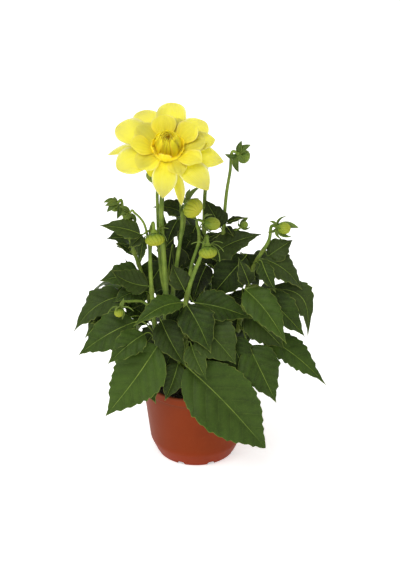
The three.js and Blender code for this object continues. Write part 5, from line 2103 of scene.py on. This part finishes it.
@dataclass(frozen=True)
class Studio:
    """Pale floor, soft lights and the camera that looks as the photo does. Lengths are in metres;
    the anchor is a place on the object, and its pixel is where the camera shows it.
    """

    floor_size: float = 9.0
    floor_drop: float = 0.0004
    floor_cells: int = 8
    anchor: Triple = (0.0, 0.0, 0.1)
    anchor_pixel: tuple[float, float] = (196, 372)
    frame_pixels: tuple[float, float] = (400, 570)
    focal_pixels: float = 1537
    sensor: float = 36
    distance: float = 1.8
    elevation: float = 26.8
    sky: float = 0.86
    lamp_place: Triple = (-0.8, -1.2, 2.2)
    lamp_target: Triple = (0.0, 0.0, 0.22)
    lamp_size: float = 1.4
    lamp_power: float = 34

    def build(self) -> None:
        """Lay the floor, set the lights and put the camera in place."""
        self._lay_floor()
        self._light_room()
        self._hang_lamp()
        self._set_camera()

    def _lay_floor(self) -> None:
        """Lay a flat square, divided so that it has more than one face."""
        half, count = self.floor_size / 2, self.floor_cells + 1
        x, y = np.meshgrid(*[np.linspace(-half, half, count)] * 2)
        points = np.stack([x, y, np.full_like(x, -self.floor_drop)], axis=-1).reshape(-1, 3)
        index = np.arange(count * count).reshape(count, count)
        corners = (index[:-1, :-1], index[:-1, 1:], index[1:, 1:], index[1:, :-1])
        faces = np.stack(corners, axis=-1).reshape(-1, 4)
        mesh = bpy.data.meshes.new("floor")
        mesh.from_pydata(points.tolist(), [], faces.tolist())
        mesh.materials.append(FloorFinish().make())
        floor = bpy.data.objects.new("floor", mesh)
        bpy.context.scene.collection.objects.link(floor)

    def _light_room(self) -> None:
        """Add an even white surround, and show colours as they are."""
        world = bpy.data.worlds.new("surround")
        world.use_nodes = True
        background = world.node_tree.nodes["Background"]
        background.inputs["Color"].default_value = WHITE
        background.inputs["Strength"].default_value = self.sky
        bpy.context.scene.world = world
        bpy.context.scene.view_settings.view_transform = "Standard"

    def _hang_lamp(self) -> None:
        """Add a large square lamp at the upper left that faces the plant."""
        light = bpy.data.lights.new("key", "AREA")
        light.size = self.lamp_size
        light.energy = self.lamp_power
        where = np.array(self.lamp_place)
        back = unit(where - np.array(self.lamp_target))
        aim(bpy.data.objects.new("key", light), *ways_across(back), back, where)

    def _set_camera(self) -> None:
        """Put the camera so that the anchor falls on its pixel."""
        tilt = math.radians(self.elevation)
        ahead = np.array((0.0, math.cos(tilt), -math.sin(tilt)))
        up = np.array((0.0, math.sin(tilt), math.cos(tilt)))
        right = np.array((1.0, 0.0, 0.0))
        wide, high = self.frame_pixels
        side = (self.anchor_pixel[0] - wide / 2) / self.focal_pixels
        rise = (high / 2 - self.anchor_pixel[1]) / self.focal_pixels
        where = np.array(self.anchor) - self.distance * (ahead + side * right + rise * up)
        lens = bpy.data.cameras.new("camera")
        lens.sensor_width = self.sensor
        lens.lens = self.focal_pixels * self.sensor / high
        camera = bpy.data.objects.new("camera", lens)
        aim(camera, right, up, -ahead, where)
        bpy.context.scene.camera = camera


BRACT_FINISH = LeafFinish("bract", deep=(38, 58, 16), fresh=(112, 132, 56),
                          under=(104, 124, 60), vein=(124, 142, 72))
HEART_FINISH = PetalFinish("heart_petal", root=(250, 206, 22), middle=(252, 212, 28),
                           tip=(252, 220, 38), rim=(250, 228, 70), shade=(226, 170, 16))
SCALE_SEED = 9000


def main() -> None:
    """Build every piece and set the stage."""
    logging.basicConfig(level=logging.INFO, format="%(name)s: %(message)s", stream=sys.stdout)
    pot = Pot()
    fit_piece(pot.build(PotFinish().make()), "pot")
    fit_piece(Soil(pot).build(SoilFinish().make()), "soil")
    growth = [StemFinish().make(), LeafFinish().make(), BRACT_FINISH.make()]
    bud_finish = BudFinish().make()
    for number, stem in enumerate(STEMS):
        leafy = LeafyStem(stem, number + 1)
        fit_piece(leafy.build(growth), stem.name)
        ends = [line[-1] for line in leafy.routes()]
        for turn, bud in enumerate(stem.buds):
            head = BudHead(bud, ends[bud.on], SCALE_SEED + 100 * number + 20 * turn)
            fit_piece(head.build(bud_finish), bud.name)
    bloom = Bloom()
    fit_piece(bloom.build(PetalFinish().make()), "bloom")
    fit_piece(BloomCentre(bloom).build(HEART_FINISH.make()), "bloom_centre")
    Studio().build()


if __name__ == "__main__":
    main()
